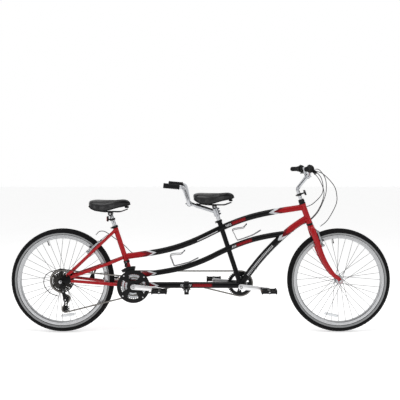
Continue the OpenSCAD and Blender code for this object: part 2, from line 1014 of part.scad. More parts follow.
// three chainrings on the right with their spider, and the rear timing ring on the left
module chainrings() {
  color("dimgray") {
    sprocket(rear_bb, -55, 48, 2.2, 78);
    sprocket(rear_bb, -47.5, 38, 2.2, 60);
    sprocket(rear_bb, chain_y, ring_teeth, 2.2, 40);
    difference() {
      union() {
        across(rear_bb, -arm_in, -38, 18);
        for (a = [0 : 90 : 270])
          turned(rear_bb, a + 45) {
            translate([10, -53.9, -9])
              cube([74, 5.3, 18]);
            translate([10, -46.4, -7])
              cube([36, 5.3, 14]);
          }
      }
      across(rear_bb, -arm_in - 2, -30, spindle_r);
    }
    timing_ring(rear_bb);
  }
}

module chainguard() {
  color("black")
    difference() {
      across(rear_bb, -61, -57.5, 104, FINE);
      across(rear_bb, -63, -55, 18.5);
      for (a = [0 : 90 : 270])
        turned(rear_bb, a + 40)
          translate([0, -54, 0])
            rotate([90, 0, 0])
              linear_extrude(10)
                intersection() {
                  difference() {
                    circle(r = 78, $fn = FINE);
                    circle(r = 44, $fn = FINE);
                  }
                  polygon([[0, 0], [140, 66], [140, -66]]);
                }
    }
}

// a platform pedal round its spindle
module pedal(bb, s) {
  turned(bb, crank_angle)
    translate([s * crank_len, -s * pedal_y, 0])
      rotate([0, crank_angle, 0])
        difference() {
          union() {
            translate([-48, -40, -13])
              cube([9, 80, 26]);
            translate([39, -40, -13])
              cube([9, 80, 26]);
            for (y = [-40, 33])
              translate([-40, y, -10])
                cube([80, 7, 20]);
            rotate([-90, 0, 0])
              translate([0, 0, -44])
                cylinder(r = 11, h = 88, $fn = SMOOTH);
          }
          rotate([-90, 0, 0])
            translate([0, 0, -60])
              cylinder(r = 5.05, h = 120, $fn = SMOOTH);
        }
}

module front_right_pedal() {
  color("black") pedal(front_bb, 1);
}

module front_left_pedal() {
  color("black") pedal(front_bb, -1);
}

module rear_right_pedal() {
  color("black") pedal(rear_bb, 1);
}

module rear_left_pedal() {
  color("black") pedal(rear_bb, -1);
}

module pulley(p, teeth, hole) {
  difference() {
    union() {
      sprocket(p, p[1], teeth, 2, hole);
      across(p, p[1] - 3.4, p[1] + 3.4, hole + 5);
    }
    across(p, p[1] - 10, p[1] + 10, hole);
  }
}

module idler_pulley() {
  color("dimgray") pulley(idler_p, idler_teeth, 4.05);
}

module guide_pulley() {
  color("black") pulley(guide_p, pulley_teeth, 3.05);
}

module tension_pulley() {
  color("black") pulley(tension_p, pulley_teeth, 3.05);
}

// the moving half of the rear derailleur: links, lower knuckle, cage plates and pulley pins
module rear_derailleur() {
  color("dimgray") {
    for (side = [-6.8, 5])
      hull()
        for (p = [guide_p, tension_p])
          across(p, chain_y + side, chain_y + side + 1.8, 12, 32);
    for (p = [guide_p, tension_p])
      across(p, chain_y - 7, chain_y + 6.9, 3);
    across(guide_p, -62, chain_y - 6, 12);
    hull() {
      across(guide_p, -78, -60, 11, 32);
      across([-866, 0, 270], -78, -68, 11, 32);
    }
  }
}

// the moving half of the front derailleur: link and cage over the chain
module front_derailleur() {
  color("dimgray")
    difference() {
      union() {
        translate([-500, -50.5, 404])
          cube([76, 17, 22]);
        translate([-500, -34.5, 386])
          cube([76, 1.6, 22]);
        translate([-482, -44, 424])
          cube([14, 14, 26]);
      }
      translate([-502, -49, 380])
        cube([80, 14.4, 42]);
    }
}

// ---- saddles and what carries them ----

module seatpost(bb, tube_len, out) {
  on_seat_tube(bb)
    translate([0, 0, tube_len - 120])
      difference() {
        cylinder(r = post_r, h = 120 + out, $fn = SMOOTH);
        translate([0, 0, -1])
          cylinder(r = post_r - 2.2, h = 100 + out, $fn = SMOOTH);
      }
}

// the clamp on a post's head and the two rails under the saddle
module saddle_rails(top) {
  translate(top) {
    rotate([90, 0, 0])
      translate([0, 0, -25])
        cylinder(r = 15, h = 50, $fn = SMOOTH);
    both_sides() {
      rod([-95, 20, 20], [-38, 20, 12], 3.4, 24);
      rod([-43, 20, 12], [63, 20, 12], 3.5, 24);
      rod([58, 20, 11], [108, 13, 28], 3.4, 24);
    }
  }
}

captain_top = front_bb + (captain_tube_len + 92) * seat_dir;
stoker_top = rear_bb + (stoker_tube_len + 84) * seat_dir;

module captain_seatpost() {
  color("silver") {
    seatpost(front_bb, captain_tube_len, 90);
    saddle_rails(captain_top);
  }
}

module stoker_seatpost() {
  color("silver") {
    seatpost(rear_bb, stoker_tube_len, 82);
    saddle_rails(stoker_top);
    difference() {
      on_seat_tube(rear_bb)
        translate([0, 0, stoker_tube_len + 38])
          cylinder(r = 18, h = 12, $fn = SMOOTH);
      on_seat_tube(rear_bb)
        translate([0, 0, stoker_tube_len + 37])
          cylinder(r = post_r, h = 14, $fn = SMOOTH);
    }
    translate(rear_bb + (stoker_tube_len + 44) * seat_dir + [-38, -22, -14])
      cube([12, 44, 36]);
    translate(rear_bb + (stoker_tube_len + 44) * seat_dir + [-28, -4, -5])
      cube([13, 8, 10]);
  }
}

// a padded saddle, drawn about its rails' clamp
module saddle(top, nose, tail, low, high) {
  color("black")
    translate(top) {
      hull()
        for (s = [1, -1]) {
          translate([-tail + 50, s * 54, high - 22])
            scale([1, 1, 0.44])
              sphere(r = 50, $fn = 32);
          translate([-tail + 44, s * 56, low])
            cylinder(r1 = 20, r2 = 34, h = 34, $fn = 32);
          translate([-6, s * 22, high - 20])
            scale([1, 1, 0.74])
              sphere(r = 26, $fn = 32);
        }
      hull() {
        for (s = [1, -1])
          translate([-10, s * 20, high - 22])
            scale([1, 1, 0.8])
              sphere(r = 26, $fn = 32);
        translate([nose - 23, 0, high - 23])
          scale([1, 1, 0.95])
            sphere(r = 23, $fn = 32);
      }
    }
}

module captain_saddle() {
  saddle(captain_top, 122, 138, 8, 92);
}

module stoker_saddle() {
  saddle(stoker_top, 124, 138, 8, 92);
}

// the adjustable stem that carries the stoker's handlebar from the captain's seatpost
module stoker_stem() {
  root = front_bb + (captain_tube_len + 56) * seat_dir;
  color("silver")
    difference() {
      union() {
        on_seat_tube(front_bb)
          translate([0, 0, captain_tube_len + 30])
            cylinder(r = 20, h = 52, $fn = SMOOTH);
        rod(root, [-30, 0, 806], 14);
        rod([-30, 0, 806], [-64, 0, 818], 11);
        across([-72, 0, 818], -22, 22, 18);
      }
      on_seat_tube(front_bb)
        translate([0, 0, captain_tube_len + 20])
          cylinder(r = post_r, h = 80, $fn = SMOOTH);
      across([-72, 0, 818], -24, 24, 12.75);
    }
}

module stoker_bar() {
  half = concat(
    [STOKER_PATH[0]],
    spline([for (i = [1 : len(STOKER_PATH) - 1]) STOKER_PATH[i]], 3)
  );
  whole = concat([for (i = [len(half) - 1 : -1 : 1]) [half[i][0], -half[i][1], half[i][2]]], half);
  n = len(STOKER_PATH);
  color("silver") {
    tube_sweep(whole, 11, 11, 2, 10, [1, 0, 1]);
    both_sides()
      rod(STOKER_PATH[n - 1] + [-4, 0, 0], STOKER_PATH[n - 2] + [4, -1, 0], 17);
  }
}

// ---- brakes: +Z out from the axle, +X away from the stay ----

// how far the brake bosses stand from the wheel's axle, and from the middle plane
BOSS_R = 247;
boss_y = 41;
boss_pin = 4;

module brake_arm() {
  difference() {
    union() {
      translate([0, boss_y, BOSS_R])
        rotate([0, 90, 0])
          cylinder(r = 9, h = 14, $fn = SMOOTH);
      translate([2, boss_y - 6, BOSS_R])
        cube([10, 9, 104]);
      translate([0, 26, BOSS_R + 22])
        cube([14, 14, 12]);
    }
    translate([-20, boss_y, BOSS_R])
      rotate([0, 90, 0])
        cylinder(r = boss_pin + post_clear, h = 50, $fn = SMOOTH);
  }
  translate([-22, 16, BOSS_R + 22])
    cube([50, 11, 12]);
}

// the boss on a stay or blade, from depth below the arm, and the pin that the arm turns on
module brake_boss(depth) {
  translate([depth, boss_y, BOSS_R])
    rotate([0, 90, 0]) {
      cylinder(r = 7, h = -depth - 0.5, $fn = SMOOTH);
      cylinder(r = boss_pin, h = 17 - depth, $fn = SMOOTH);
    }
}

module on_front_brake() {
  on_steering()
    translate(axle_local + [-34, 0, 0])
      children();
}

module on_rear_brake() {
  translate(rear_axle_p)
    rotate([0, 90 - stay_rise, 0])
      mirror([1, 0, 0])
        translate([12.5, 0, 0])
          children();
}

module front_left_brake() {
  color("silver") on_front_brake() brake_arm();
}

module front_right_brake() {
  color("silver") on_front_brake() scale([1, -1, 1]) brake_arm();
}

module rear_left_brake() {
  color("silver") on_rear_brake() brake_arm();
}

module rear_right_brake() {
  color("silver") on_rear_brake() scale([1, -1, 1]) brake_arm();
}

head_tube();
top_tube();
lower_tube();
down_tube();
boom_tube();
captain_seat_tube();
stoker_seat_tube();
bottom_brackets();
seat_stays();
middle_stays();
chain_stays();
bottle_cages();
idler_bracket();
rear_axle();
drive_chain();
timing_chain();
frame_cables();
frame_fittings();
fork();
stem();
handlebar();
grips_and_mounts();
front_reflector();
front_axle();
steering_cables();
left_shifter();
right_shifter();
left_brake_lever();
right_brake_lever();
front_tyre();
front_rim();
front_hub();
rear_tyre();
rear_rim();
rear_hub();
freewheel();
front_cranks();
front_timing_ring();
rear_cranks();
chainrings();
chainguard();
front_right_pedal();
front_left_pedal();
rear_right_pedal();
rear_left_pedal();
idler_pulley();
guide_pulley();
tension_pulley();
rear_derailleur();
front_derailleur();
captain_seatpost();
captain_saddle();
stoker_stem();
stoker_bar();
stoker_seatpost();
stoker_saddle();
front_left_brake();
front_right_brake();
rear_left_brake();
rear_right_brake();
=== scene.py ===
"""Tandem bicycle for two riders: the visual model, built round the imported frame.

Lengths in the code are millimetres; a mesh is scaled to metres when it is made.
+X is forward, +Y is the riders' left, +Z is up.
"""
import math

import bmesh
import bpy
import numpy as np
from mathutils import Matrix, Vector


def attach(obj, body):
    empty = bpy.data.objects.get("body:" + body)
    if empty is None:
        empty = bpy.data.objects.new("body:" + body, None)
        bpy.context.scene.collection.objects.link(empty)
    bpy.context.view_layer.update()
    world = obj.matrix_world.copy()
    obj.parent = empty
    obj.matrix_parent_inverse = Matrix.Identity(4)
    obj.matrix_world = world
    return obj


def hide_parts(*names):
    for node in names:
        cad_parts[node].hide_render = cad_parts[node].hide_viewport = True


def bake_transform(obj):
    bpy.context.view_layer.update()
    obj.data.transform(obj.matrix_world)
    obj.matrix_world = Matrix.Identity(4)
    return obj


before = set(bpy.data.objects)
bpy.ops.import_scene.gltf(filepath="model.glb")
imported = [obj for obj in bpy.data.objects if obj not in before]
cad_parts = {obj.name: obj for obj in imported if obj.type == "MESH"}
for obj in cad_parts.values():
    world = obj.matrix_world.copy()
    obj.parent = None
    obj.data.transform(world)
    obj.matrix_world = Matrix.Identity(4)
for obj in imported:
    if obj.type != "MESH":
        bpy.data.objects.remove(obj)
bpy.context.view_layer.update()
MM = 0.001
TAU = 2 * math.pi

# ---- the design's sizes, as in part.scad ----

SPOKES, SPOKE_R = 36, 1.25
REAR_AXLE = np.array([-884.0, 0, 330])
FRONT_AXLE = np.array([884.0, 0, 330])
REAR_BB = np.array([-426.0, 0, 297])
FRONT_BB = np.array([255.0, 0, 297])
HEAD = np.array([675.0, 0, 755])
SEAT_ANGLE, HEAD_ANGLE = math.radians(71.6), math.radians(70.4)
SEAT_DIR = np.array([-math.cos(SEAT_ANGLE), 0, math.sin(SEAT_ANGLE)])
SEAT_FORE = np.array([math.sin(SEAT_ANGLE), 0, math.cos(SEAT_ANGLE)])
HEAD_DIR = np.array([-math.cos(HEAD_ANGLE), 0, math.sin(HEAD_ANGLE)])
HEAD_FORE = np.array([math.sin(HEAD_ANGLE), 0, math.cos(HEAD_ANGLE)])
LEFT = np.array([0.0, 1, 0])
CAPTAIN_TUBE, STOKER_TUBE = 437, 399
PITCH = 12.7
CHAIN_Y, TIMING_Y = -40, 50
ARM_IN, ARM_T = 66, 14
CRANK_LEN, CRANK_ANGLE = 170, math.radians(-5)
PEDAL_Y = 132
IDLER = np.array([-92.0, TIMING_Y, 270])
GUIDE = np.array([-853.0, CHAIN_Y, 216])
TENSION = np.array([-859.0, CHAIN_Y, 153])
BAR_CLAMP = np.array([684.0, 0, 996])
BAR_HALF = 300
GRIP_END = np.array([630.0, BAR_HALF, 1040])
GRIP_DIR = np.array([46.0, -135, 2]) / np.linalg.norm([46, -135, 2])
STOKER_PATH = [
    (-72, 0, 818), (-72, 40, 818), (-76, 70, 826), (-84, 130, 858), (-95, 200, 900),
    (-102, 240, 921), (-112, 262, 930), (-130, 276, 934), (-215, 282, 942),
]
TOP_KNOTS = [(-478, 480, 8), (-240, 517, 12), (40, 618, 26.5), (320, 733, 16), (652, 795, 9)]
LOWER_KNOTS = [(-446, 355, 6), (-180, 393, 11), (95, 491, 27), (320, 584, 17), (548, 628, 7)]
DOWN_KNOTS = [(266, 313, 56), (440, 530, 46), (680, 725, 28)]
MIDDLE_STAY = [(-834, 65, 352), (-740, 56, 384), (-640, 45, 420), (-570, 36, 445), (-497, 14, 473)]
CHAIN_STAY = [
    (-829, 65, 334), (-760, 60, 328), (-640, 47, 316), (-560, 38, 308), (-500, 29, 302),
    (-444, 20, 297),
]
AXLE_LOCAL = np.array([(FRONT_AXLE - HEAD) @ HEAD_FORE, 0, (FRONT_AXLE - HEAD) @ HEAD_DIR])


def pitch_r(teeth):
    return PITCH / (2 * math.sin(math.pi / teeth))


def unit(v):
    v = np.asarray(v, float)
    return v / np.linalg.norm(v)


def lengths_along(points):
    """The distance along a path at each of its points."""
    return np.concatenate([[0], np.cumsum(np.linalg.norm(np.diff(points, axis=0), axis=1))])


def polar(r, a, z=0.0):
    """The point at a radius and an angle in local x and y, at a height."""
    return np.array([r * math.cos(a), r * math.sin(a), z])


def flip(points):
    """The same points on the other side of the bicycle."""
    return np.asarray(points, float) * (1, -1, 1)


def spline(points, steps):
    """A smooth path through points."""
    p = np.asarray(points, float)
    out = []
    for i in range(len(p) - 1):
        a, b, c, d = p[max(i - 1, 0)], p[i], p[i + 1], p[min(i + 2, len(p) - 1)]
        last = i == len(p) - 2
        for t in np.linspace(0, 1, steps + (1 if last else 0), endpoint=last):
            out.append(0.5 * (2 * b + (c - a) * t + (2 * a - 5 * b + 4 * c - d) * t**2
                              + (3 * b - a - 3 * c + d) * t**3))
    return np.array(out)


def knot_path(knots, steps):
    """A curve in the middle plane through knots, each (x, z, slope in degrees)."""
    out = []
    for i in range(len(knots) - 1):
        (ax, az, s), (bx, bz, e) = knots[i], knots[i + 1]
        reach = math.hypot(bx - ax, bz - az)
        a, b = np.array([ax, 0, az]), np.array([bx, 0, bz])
        ta = reach * np.array([math.cos(math.radians(s)), 0, math.sin(math.radians(s))])
        tb = reach * np.array([math.cos(math.radians(e)), 0, math.sin(math.radians(e))])
        last = i == len(knots) - 2
        for t in np.linspace(0, 1, steps + (1 if last else 0), endpoint=last):
            out.append((2 * t**3 - 3 * t**2 + 1) * a + (t**3 - 2 * t**2 + t) * ta
                       + (3 * t**2 - 2 * t**3) * b + (t**3 - t**2) * tb)
    return np.array(out)


def placed(origin, x, y, z):
    """The matrix of a local frame with these three directions."""
    m = np.eye(4)
    m[:3, 0], m[:3, 1], m[:3, 2], m[:3, 3] = x, y, z, origin
    return m


def shifted(x, y, z):
    return placed((x, y, z), (1, 0, 0), (0, 1, 0), (0, 0, 1))


def spun(degrees, axis="Z"):
    return np.array(Matrix.Rotation(math.radians(degrees), 4, axis))


def scaled(x, y, z):
    return np.diag([x, y, z, 1.0])


def across(p, angle=0.0):
    """Local x forward and y up at a point, turned up by an angle; local z is to the right side."""
    c, s = math.cos(angle), math.sin(angle)
    return placed(p, (c, 0, s), (-s, 0, c), (0, -1, 0))


def forward(p):
    """Local x to the left side, y up and z forward at a point."""
    return placed(p, (0, 1, 0), (0, 0, 1), (1, 0, 0))


def leftward(p):
    """Local x forward, y down and z to the left side at a point."""
    return placed(p, (1, 0, 0), (0, 0, -1), (0, 1, 0))


def along(a, b):
    """Local z from a towards b, x as square to the left side as it can be."""
    z = unit(np.subtract(b, a))
    x = np.cross(LEFT, z)
    x = unit(x) if np.linalg.norm(x) > 1e-6 else np.array([1.0, 0, 0])
    return placed(a, x, np.cross(z, x), z)


STEERING = placed(HEAD, HEAD_FORE, LEFT, HEAD_DIR)
MIRROR = scaled(1, -1, 1)


def on_seat(bb):
    return placed(bb, SEAT_FORE, LEFT, SEAT_DIR)


_t, _p = math.acos(GRIP_DIR[2]), math.atan2(GRIP_DIR[1], GRIP_DIR[0])
GRIP = placed(
    GRIP_END,
    (math.cos(_t) * math.cos(_p), math.cos(_t) * math.sin(_p), -math.sin(_t)),
    (-math.sin(_p), math.cos(_p), 0),
    GRIP_DIR,
)
LEVER = GRIP @ spun(-35)

# ---- shells: (points, faces, texture places of the faces' corners or None) ----


def ring_path(pts, rings, cyclic=False):
    """Faces joining rings of points, capped at open ends, with u as metres along and v round."""
    n, seg = rings.shape[:2]
    v = rings.reshape(-1, 3)
    run = lengths_along(pts) * MM
    faces, uvs = [], []
    for i in range(n if cyclic else n - 1):
        j = (i + 1) % n
        u0, u1 = run[i], (run[j] if j else run[-1] + 0.01)
        for k in range(seg):
            m = (k + 1) % seg
            faces.append((i * seg + k, i * seg + m, j * seg + m, j * seg + k))
            uvs.append(((u0, k / seg), (u0, (k + 1) / seg), (u1, (k + 1) / seg), (u1, k / seg)))
    if not cyclic:
        for i, order in ((0, range(seg - 1, -1, -1)), (n - 1, range(seg))):
            faces.append(tuple(i * seg + k for k in order))
            uvs.append(tuple((run[i], k / seg) for k in order))
    return v, faces, uvs


def tube(path, r, seg, ref=None, cyclic=False, squash=(1, 1)):
    """A round or oval bar along a path. With ref the angle is measured from cross(path, ref)."""
    p = np.asarray(path, float)
    n = len(p)
    r = np.broadcast_to(np.asarray(r, float), (n,))
    if cyclic:
        t = np.roll(p, -1, 0) - np.roll(p, 1, 0)
    else:
        t = np.gradient(p, axis=0)
    t /= np.linalg.norm(t, axis=1)[:, None]
    u = np.zeros_like(t)
    if ref is not None:
        u = np.cross(t, np.asarray(ref, float))
        u /= np.linalg.norm(u, axis=1)[:, None]
    else:
        start = np.array([0, 1.0, 0]) if abs(t[0][1]) < 0.9 else np.array([1.0, 0, 0])
        u[0] = unit(np.cross(t[0], start))
        for i in range(1, n):
            w = u[i - 1] - (u[i - 1] @ t[i]) * t[i]
            u[i] = unit(w)
    w = np.cross(u, t)
    a = np.linspace(0, TAU, seg, endpoint=False)
    rings = (p[:, None] + (r[:, None] * np.cos(a) * squash[0])[..., None] * u[:, None]
             + (r[:, None] * np.sin(a) * squash[1])[..., None] * w[:, None])
    return ring_path(p, rings, cyclic)


def rod(a, b, r, seg):
    """A straight bar with eased ends."""
    h = float(np.linalg.norm(np.subtract(b, a)))
    return moved(ring(0, r, 0, h, seg, min(0.4, r * 0.5, h * 0.3)), along(a, b))


def revolve(profile, seg, closed=False):
    """(radius, height) points turned about local z; a closed profile makes a ring."""
    p = np.asarray(profile, float)
    a = np.linspace(0, TAU, seg, endpoint=False)
    v = np.stack([p[:, 0] * np.cos(a)[:, None], p[:, 0] * np.sin(a)[:, None],
                  np.broadcast_to(p[:, 1], (len(a), len(p)))], -1)
    n = len(p)
    run = lengths_along(p) * MM
    faces, uvs = [], []
    for i in range(seg):
        j = (i + 1) % seg
        for k in range(n if closed else n - 1):
            m = (k + 1) % n
            u1 = run[m] if m else run[-1] + 0.001
            faces.append((i * n + k, j * n + k, j * n + m, i * n + m))
            uvs.append(((run[k], i / seg), (run[k], (i + 1) / seg), (u1, (i + 1) / seg), (u1, i / seg)))
    return v.reshape(-1, 3), faces, uvs


def ring(inner, outer, z0, z1, seg, ease, ease_z=None):
    """A sleeve between two heights of local z with eased outer edges; with no bore it is a solid pin."""
    e = ease if ease_z is None else ease_z
    return revolve([(inner, z0), (outer - ease, z0), (outer, z0 + e), (outer, z1 - e), (outer - ease, z1),
                    (inner, z1)], seg, closed=inner > 0)


def stud(r, z0, z1, seg, ease, ease_z=None):
    """A solid pin or nut whose upper edge is eased."""
    e = ease if ease_z is None else ease_z
    return revolve([(0, z0), (r, z0), (r, z1 - e), (r - ease, z1), (0, z1)], seg)


def peg(r, z0, z1, seg):
    """A plain solid pin."""
    return revolve([(0, z0), (r, z0), (r, z1), (0, z1)], seg)


def block(size, bevel, at):
    """A box about its middle with rounded edges."""
    bm = bmesh.new()
    bmesh.ops.create_cube(bm, size=1)
    bmesh.ops.scale(bm, vec=size, verts=bm.verts)
    bevel = min(bevel, min(size) * 0.49)
    bmesh.ops.bevel(bm, geom=bm.edges[:], offset=bevel, segments=2, affect="EDGES", profile=0.5)
    return moved(from_bmesh(bm), at)


def from_bmesh(bm):
    bm.verts.ensure_lookup_table()
    v = np.array([x.co[:] for x in bm.verts])
    f = [tuple(x.index for x in face.verts) for face in bm.faces]
    bm.free()
    return v, f, None


def plate(loops, thick, bevel, at=None, steps=2):
    """Flat outlines with holes, in local x and y, raised along z on both sides of zero."""
    curve = bpy.data.curves.new("outline", "CURVE")
    curve.dimensions = "2D"
    curve.fill_mode = "BOTH"
    curve.extrude = max(thick / 2 - bevel, 0.01)
    curve.bevel_depth = bevel
    curve.bevel_resolution = steps - 1
    curve.offset = -bevel
    for loop in loops:
        s = curve.splines.new("POLY")
        s.points.add(len(loop) - 1)
        for q, (x, y) in zip(s.points, loop):
            q.co = (x, y, 0, 1)
        s.use_cyclic_u = True
    holder = bpy.data.objects.new("outline", curve)
    mesh = bpy.data.meshes.new_from_object(holder)
    v = np.empty(len(mesh.vertices) * 3)
    mesh.vertices.foreach_get("co", v)
    f = [tuple(p.vertices) for p in mesh.polygons]
    bpy.data.objects.remove(holder)
    bpy.data.curves.remove(curve)
    bpy.data.meshes.remove(mesh)
    shell = (v.reshape(-1, 3), f, None)
    return moved(shell, at) if at is not None else shell


def circle(r, n, x=0.0, y=0.0):
    a = np.linspace(0, TAU, n, endpoint=False)
    return [(x + r * math.cos(k), y + r * math.sin(k)) for k in a]


def stadium(a, b, ra, rb, n=20):
    """The outline round two circles."""
    a, b = np.array(a, float), np.array(b, float)
    d = b - a
    lean = math.atan2(d[1], d[0])
    tilt = math.acos(max(-1, min(1, (ra - rb) / np.linalg.norm(d))))
    out = []
    for centre, r, lo, hi in ((a, ra, lean + tilt, lean + TAU - tilt), (b, rb, lean - tilt, lean + tilt)):
        for k in np.linspace(lo, hi, n):
            out.append((centre[0] + r * math.cos(k), centre[1] + r * math.sin(k)))
    return out


def rounded(points, r, n=5):
    """A polygon with its corners rounded."""
    p = np.asarray(points, float)
    out = []
    for i in range(len(p)):
        a, b, c = p[i - 1], p[i], p[(i + 1) % len(p)]
        u, w = unit(a - b), unit(c - b)
        reach = min(r, np.linalg.norm(a - b) * 0.45, np.linalg.norm(c - b) * 0.45)
        for t in np.linspace(0, 1, n):
            out.append(tuple((1 - t)**2 * (b + reach * u) + 2 * t * (1 - t) * b + t**2 * (b + reach * w)))
    return out


def oblong(x, y, r, n=5):
    """A rectangle about its middle, from its half sizes, with rounded corners."""
    return rounded([(-x, -y), (x, -y), (x, y), (-x, y)], r, n)


def moved(shell, m):
    v = shell[0] @ m[:3, :3].T + m[:3, 3]
    return v, shell[1], shell[2]


class Piece:
    """One visible object: shells in one mesh, with a material each, riding on a CAD body."""

    def __init__(self, name, body, slot, replaces=(), place=np.eye(4)):
        self.name, self.body, self.slot, self.nodes, self.place = name, body, slot, replaces, place
        self.v, self.f, self.uv, self.m, self.mats, self.n = [], [], [], [], [], 0

    def add(self, shell, material, at=None, mirror=False):
        """Adds a shell; mirror adds it on the other side too."""
        m = self.place if at is None else self.place @ at
        v, faces, uvs = moved(shell, m)
        if mirror:
            self.put((flip(v), faces, uvs), material)
        self.put((v, faces, uvs), material)

    def put(self, shell, material):
        v, faces, uvs = shell
        if material not in self.mats:
            self.mats.append(material)
        self.v.append(v)
        self.f += [tuple(i + self.n for i in f) for f in faces]
        self.uv += list(uvs) if uvs is not None else [((0, 0),) * len(f) for f in faces]
        self.m += [self.mats.index(material)] * len(faces)
        self.n += len(v)

    def done(self, angle=38, weld=True):
        """Makes the object. Edges sharper than the angle, in degrees, stay sharp when it is shaded."""
        mesh = bpy.data.meshes.new(self.name)
        v = np.concatenate(self.v) * MM
        mesh.from_pydata(v.tolist(), [], self.f)
        layer = mesh.uv_layers.new(name="along")
        flat = [c for f in self.uv for q in f for c in q]
        layer.data.foreach_set("uv", flat)
        mesh.polygons.foreach_set("material_index", self.m)
        for m in self.mats:
            mesh.materials.append(m)
        bm = bmesh.new()
        bm.from_mesh(mesh)
        if weld:
            bmesh.ops.remove_doubles(bm, verts=bm.verts, dist=2e-6)
        bmesh.ops.dissolve_degenerate(bm, edges=bm.edges, dist=1e-7)
        bmesh.ops.recalc_face_normals(bm, faces=bm.faces)
        bm.to_mesh(mesh)
        bm.free()
        mesh.shade_smooth()
        mesh.set_sharp_from_angle(angle=math.radians(angle))
        obj = bpy.data.objects.new(self.name, mesh)
        bpy.context.scene.collection.objects.link(obj)
        if self.body:
            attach(obj, self.body)
        if self.nodes:
            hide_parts(*self.nodes)
        return obj

# ---- materials ----


class Nodes:
    """A short way to write shader nodes."""

    def __init__(self, name):
        self.mat = bpy.data.materials.new(name)
        self.mat.use_nodes = True
        self.tree = self.mat.node_tree
        self.shader = self.tree.nodes["Principled BSDF"]
        self.place = self.tree.nodes.new("ShaderNodeTexCoord")

    def link(self, source, target):
        if hasattr(source, "is_output"):
            self.tree.links.new(source, target)
        else:
            target.default_value = source

    def math(self, op, a, b=0.0, c=0.0):
        n = self.tree.nodes.new("ShaderNodeMath")
        n.operation = op
        for s, v in zip(n.inputs, (a, b, c)):
            self.link(v, s)
        return n.outputs[0]

    def noise(self, scale, detail=3.0, rough=0.55):
        n = self.tree.nodes.new("ShaderNodeTexNoise")
        n.inputs["Scale"].default_value = scale
        n.inputs["Detail"].default_value = detail
        n.inputs["Roughness"].default_value = rough
        self.tree.links.new(self.place.outputs["Object"], n.inputs["Vector"])
        return n.outputs["Fac"]

    def mix(self, fac, a, b):
        n = self.tree.nodes.new("ShaderNodeMix")
        n.data_type = "RGBA"
        self.link(fac, n.inputs[0])
        for s, v in ((n.inputs[6], a), (n.inputs[7], b)):
            self.link(v if hasattr(v, "is_output") else (*v, 1), s)
        return n.outputs[2]

    def span(self, value, lo, hi):
        n = self.tree.nodes.new("ShaderNodeMapRange")
        self.link(value, n.inputs[0])
        n.inputs[1].default_value, n.inputs[2].default_value = 0.25, 0.75
        n.inputs[3].default_value, n.inputs[4].default_value = lo, hi
        return n.outputs[0]

    def bump(self, height, strength, distance):
        n = self.tree.nodes.new("ShaderNodeBump")
        n.inputs["Strength"].default_value = strength
        n.inputs["Distance"].default_value = distance
        self.link(height, n.inputs["Height"])
        self.tree.links.new(n.outputs[0], self.shader.inputs["Normal"])

    def set(self, **values):
        for key, v in values.items():
            self.link(v, self.shader.inputs[key.replace("_", " ")])
        return self.mat


def finish_of(name, colour, rough, metal, vary, grain, bump, depth, coat=0.0, **more):
    """A material whose tone, roughness and surface vary a little at the scale of its grain."""
    n = Nodes(name)
    fine, broad = n.noise(grain, 4, 0.6), n.noise(22, 3)
    dark = tuple(c * (1 - vary) for c in colour)
    light = tuple(min(1, c * (1 + vary)) for c in colour)
    tone = n.math("ADD", n.math("MULTIPLY", fine, 0.6), n.math("MULTIPLY", broad, 0.4))
    n.set(Base_Color=n.mix(tone, dark, light), Metallic=metal,
          Roughness=n.span(tone, rough * 0.7, rough * 1.3))
    if coat:
        n.set(Coat_Weight=coat, Coat_Roughness=0.06)
    n.bump(fine, bump, depth)
    return n.set(**more)


RED = (0.36, 0.007, 0.011)
MAROON = (0.13, 0.005, 0.009)
BLACK = (0.004, 0.004, 0.0045)
SILVER = (0.62, 0.63, 0.65)
PALE = (0.62, 0.62, 0.63)

# name, colour, roughness, metal, variation of tone, grain, strength and depth of the bump in metres
red = finish_of("red_enamel", RED, 0.28, 0.0, 0.10, 900, 0.10, 0.0001, Specular_IOR_Level=0.25)
black = finish_of("black_enamel", BLACK, 0.26, 0.0, 0.2, 900, 0.08, 0.0001, Specular_IOR_Level=0.12)
alloy = finish_of("polished_alloy", (0.50, 0.51, 0.53), 0.22, 1.0, 0.07, 700, 0.08, 0.00008)
satin = finish_of("satin_alloy", (0.44, 0.45, 0.47), 0.30, 1.0, 0.08, 500, 0.12, 0.0001)
crank_alloy = finish_of("forged_alloy", (0.80, 0.80, 0.81), 0.32, 0.85, 0.05, 350, 0.12, 0.0001)
rim_alloy = finish_of("rim_alloy", (0.42, 0.425, 0.435), 0.34, 0.9, 0.06, 500, 0.1, 0.0001)
track = finish_of("brake_track", (0.50, 0.505, 0.515), 0.28, 0.95, 0.05, 900, 0.15, 0.0001)
spoke_steel = finish_of("spoke_steel", (0.03, 0.03, 0.032), 0.42, 0.1, 0.05, 700, 0.05, 0.00005)
bolt_steel = finish_of("zinc_bolt", (0.50, 0.50, 0.51), 0.34, 1.0, 0.12, 900, 0.15, 0.0001)
dark_steel = finish_of("black_oxide", (0.008, 0.008, 0.0085), 0.38, 0.2, 0.3, 500, 0.2, 0.0001,
                       Specular_IOR_Level=0.2)
cog_steel = finish_of("cog_steel", (0.035, 0.033, 0.031), 0.38, 0.9, 0.3, 500, 0.2, 0.0001)
chain_side = finish_of("chain_plate", (0.16, 0.15, 0.14), 0.36, 0.9, 0.25, 900, 0.2, 0.0001)
chain_pin = finish_of("chain_pin", (0.34, 0.33, 0.31), 0.30, 1.0, 0.15, 900, 0.1, 0.0001)
rubber = finish_of("tyre_rubber", (0.006, 0.006, 0.0065), 0.78, 0.0, 0.3, 700, 0.5, 0.0003,
                   Specular_IOR_Level=0.12)
# a lighter grey ring round each tyre sidewall, between the tread and the bead
wall_band = finish_of("sidewall_band", (0.25, 0.255, 0.26), 0.55, 0.0, 0.1, 900, 0.3, 0.0002)
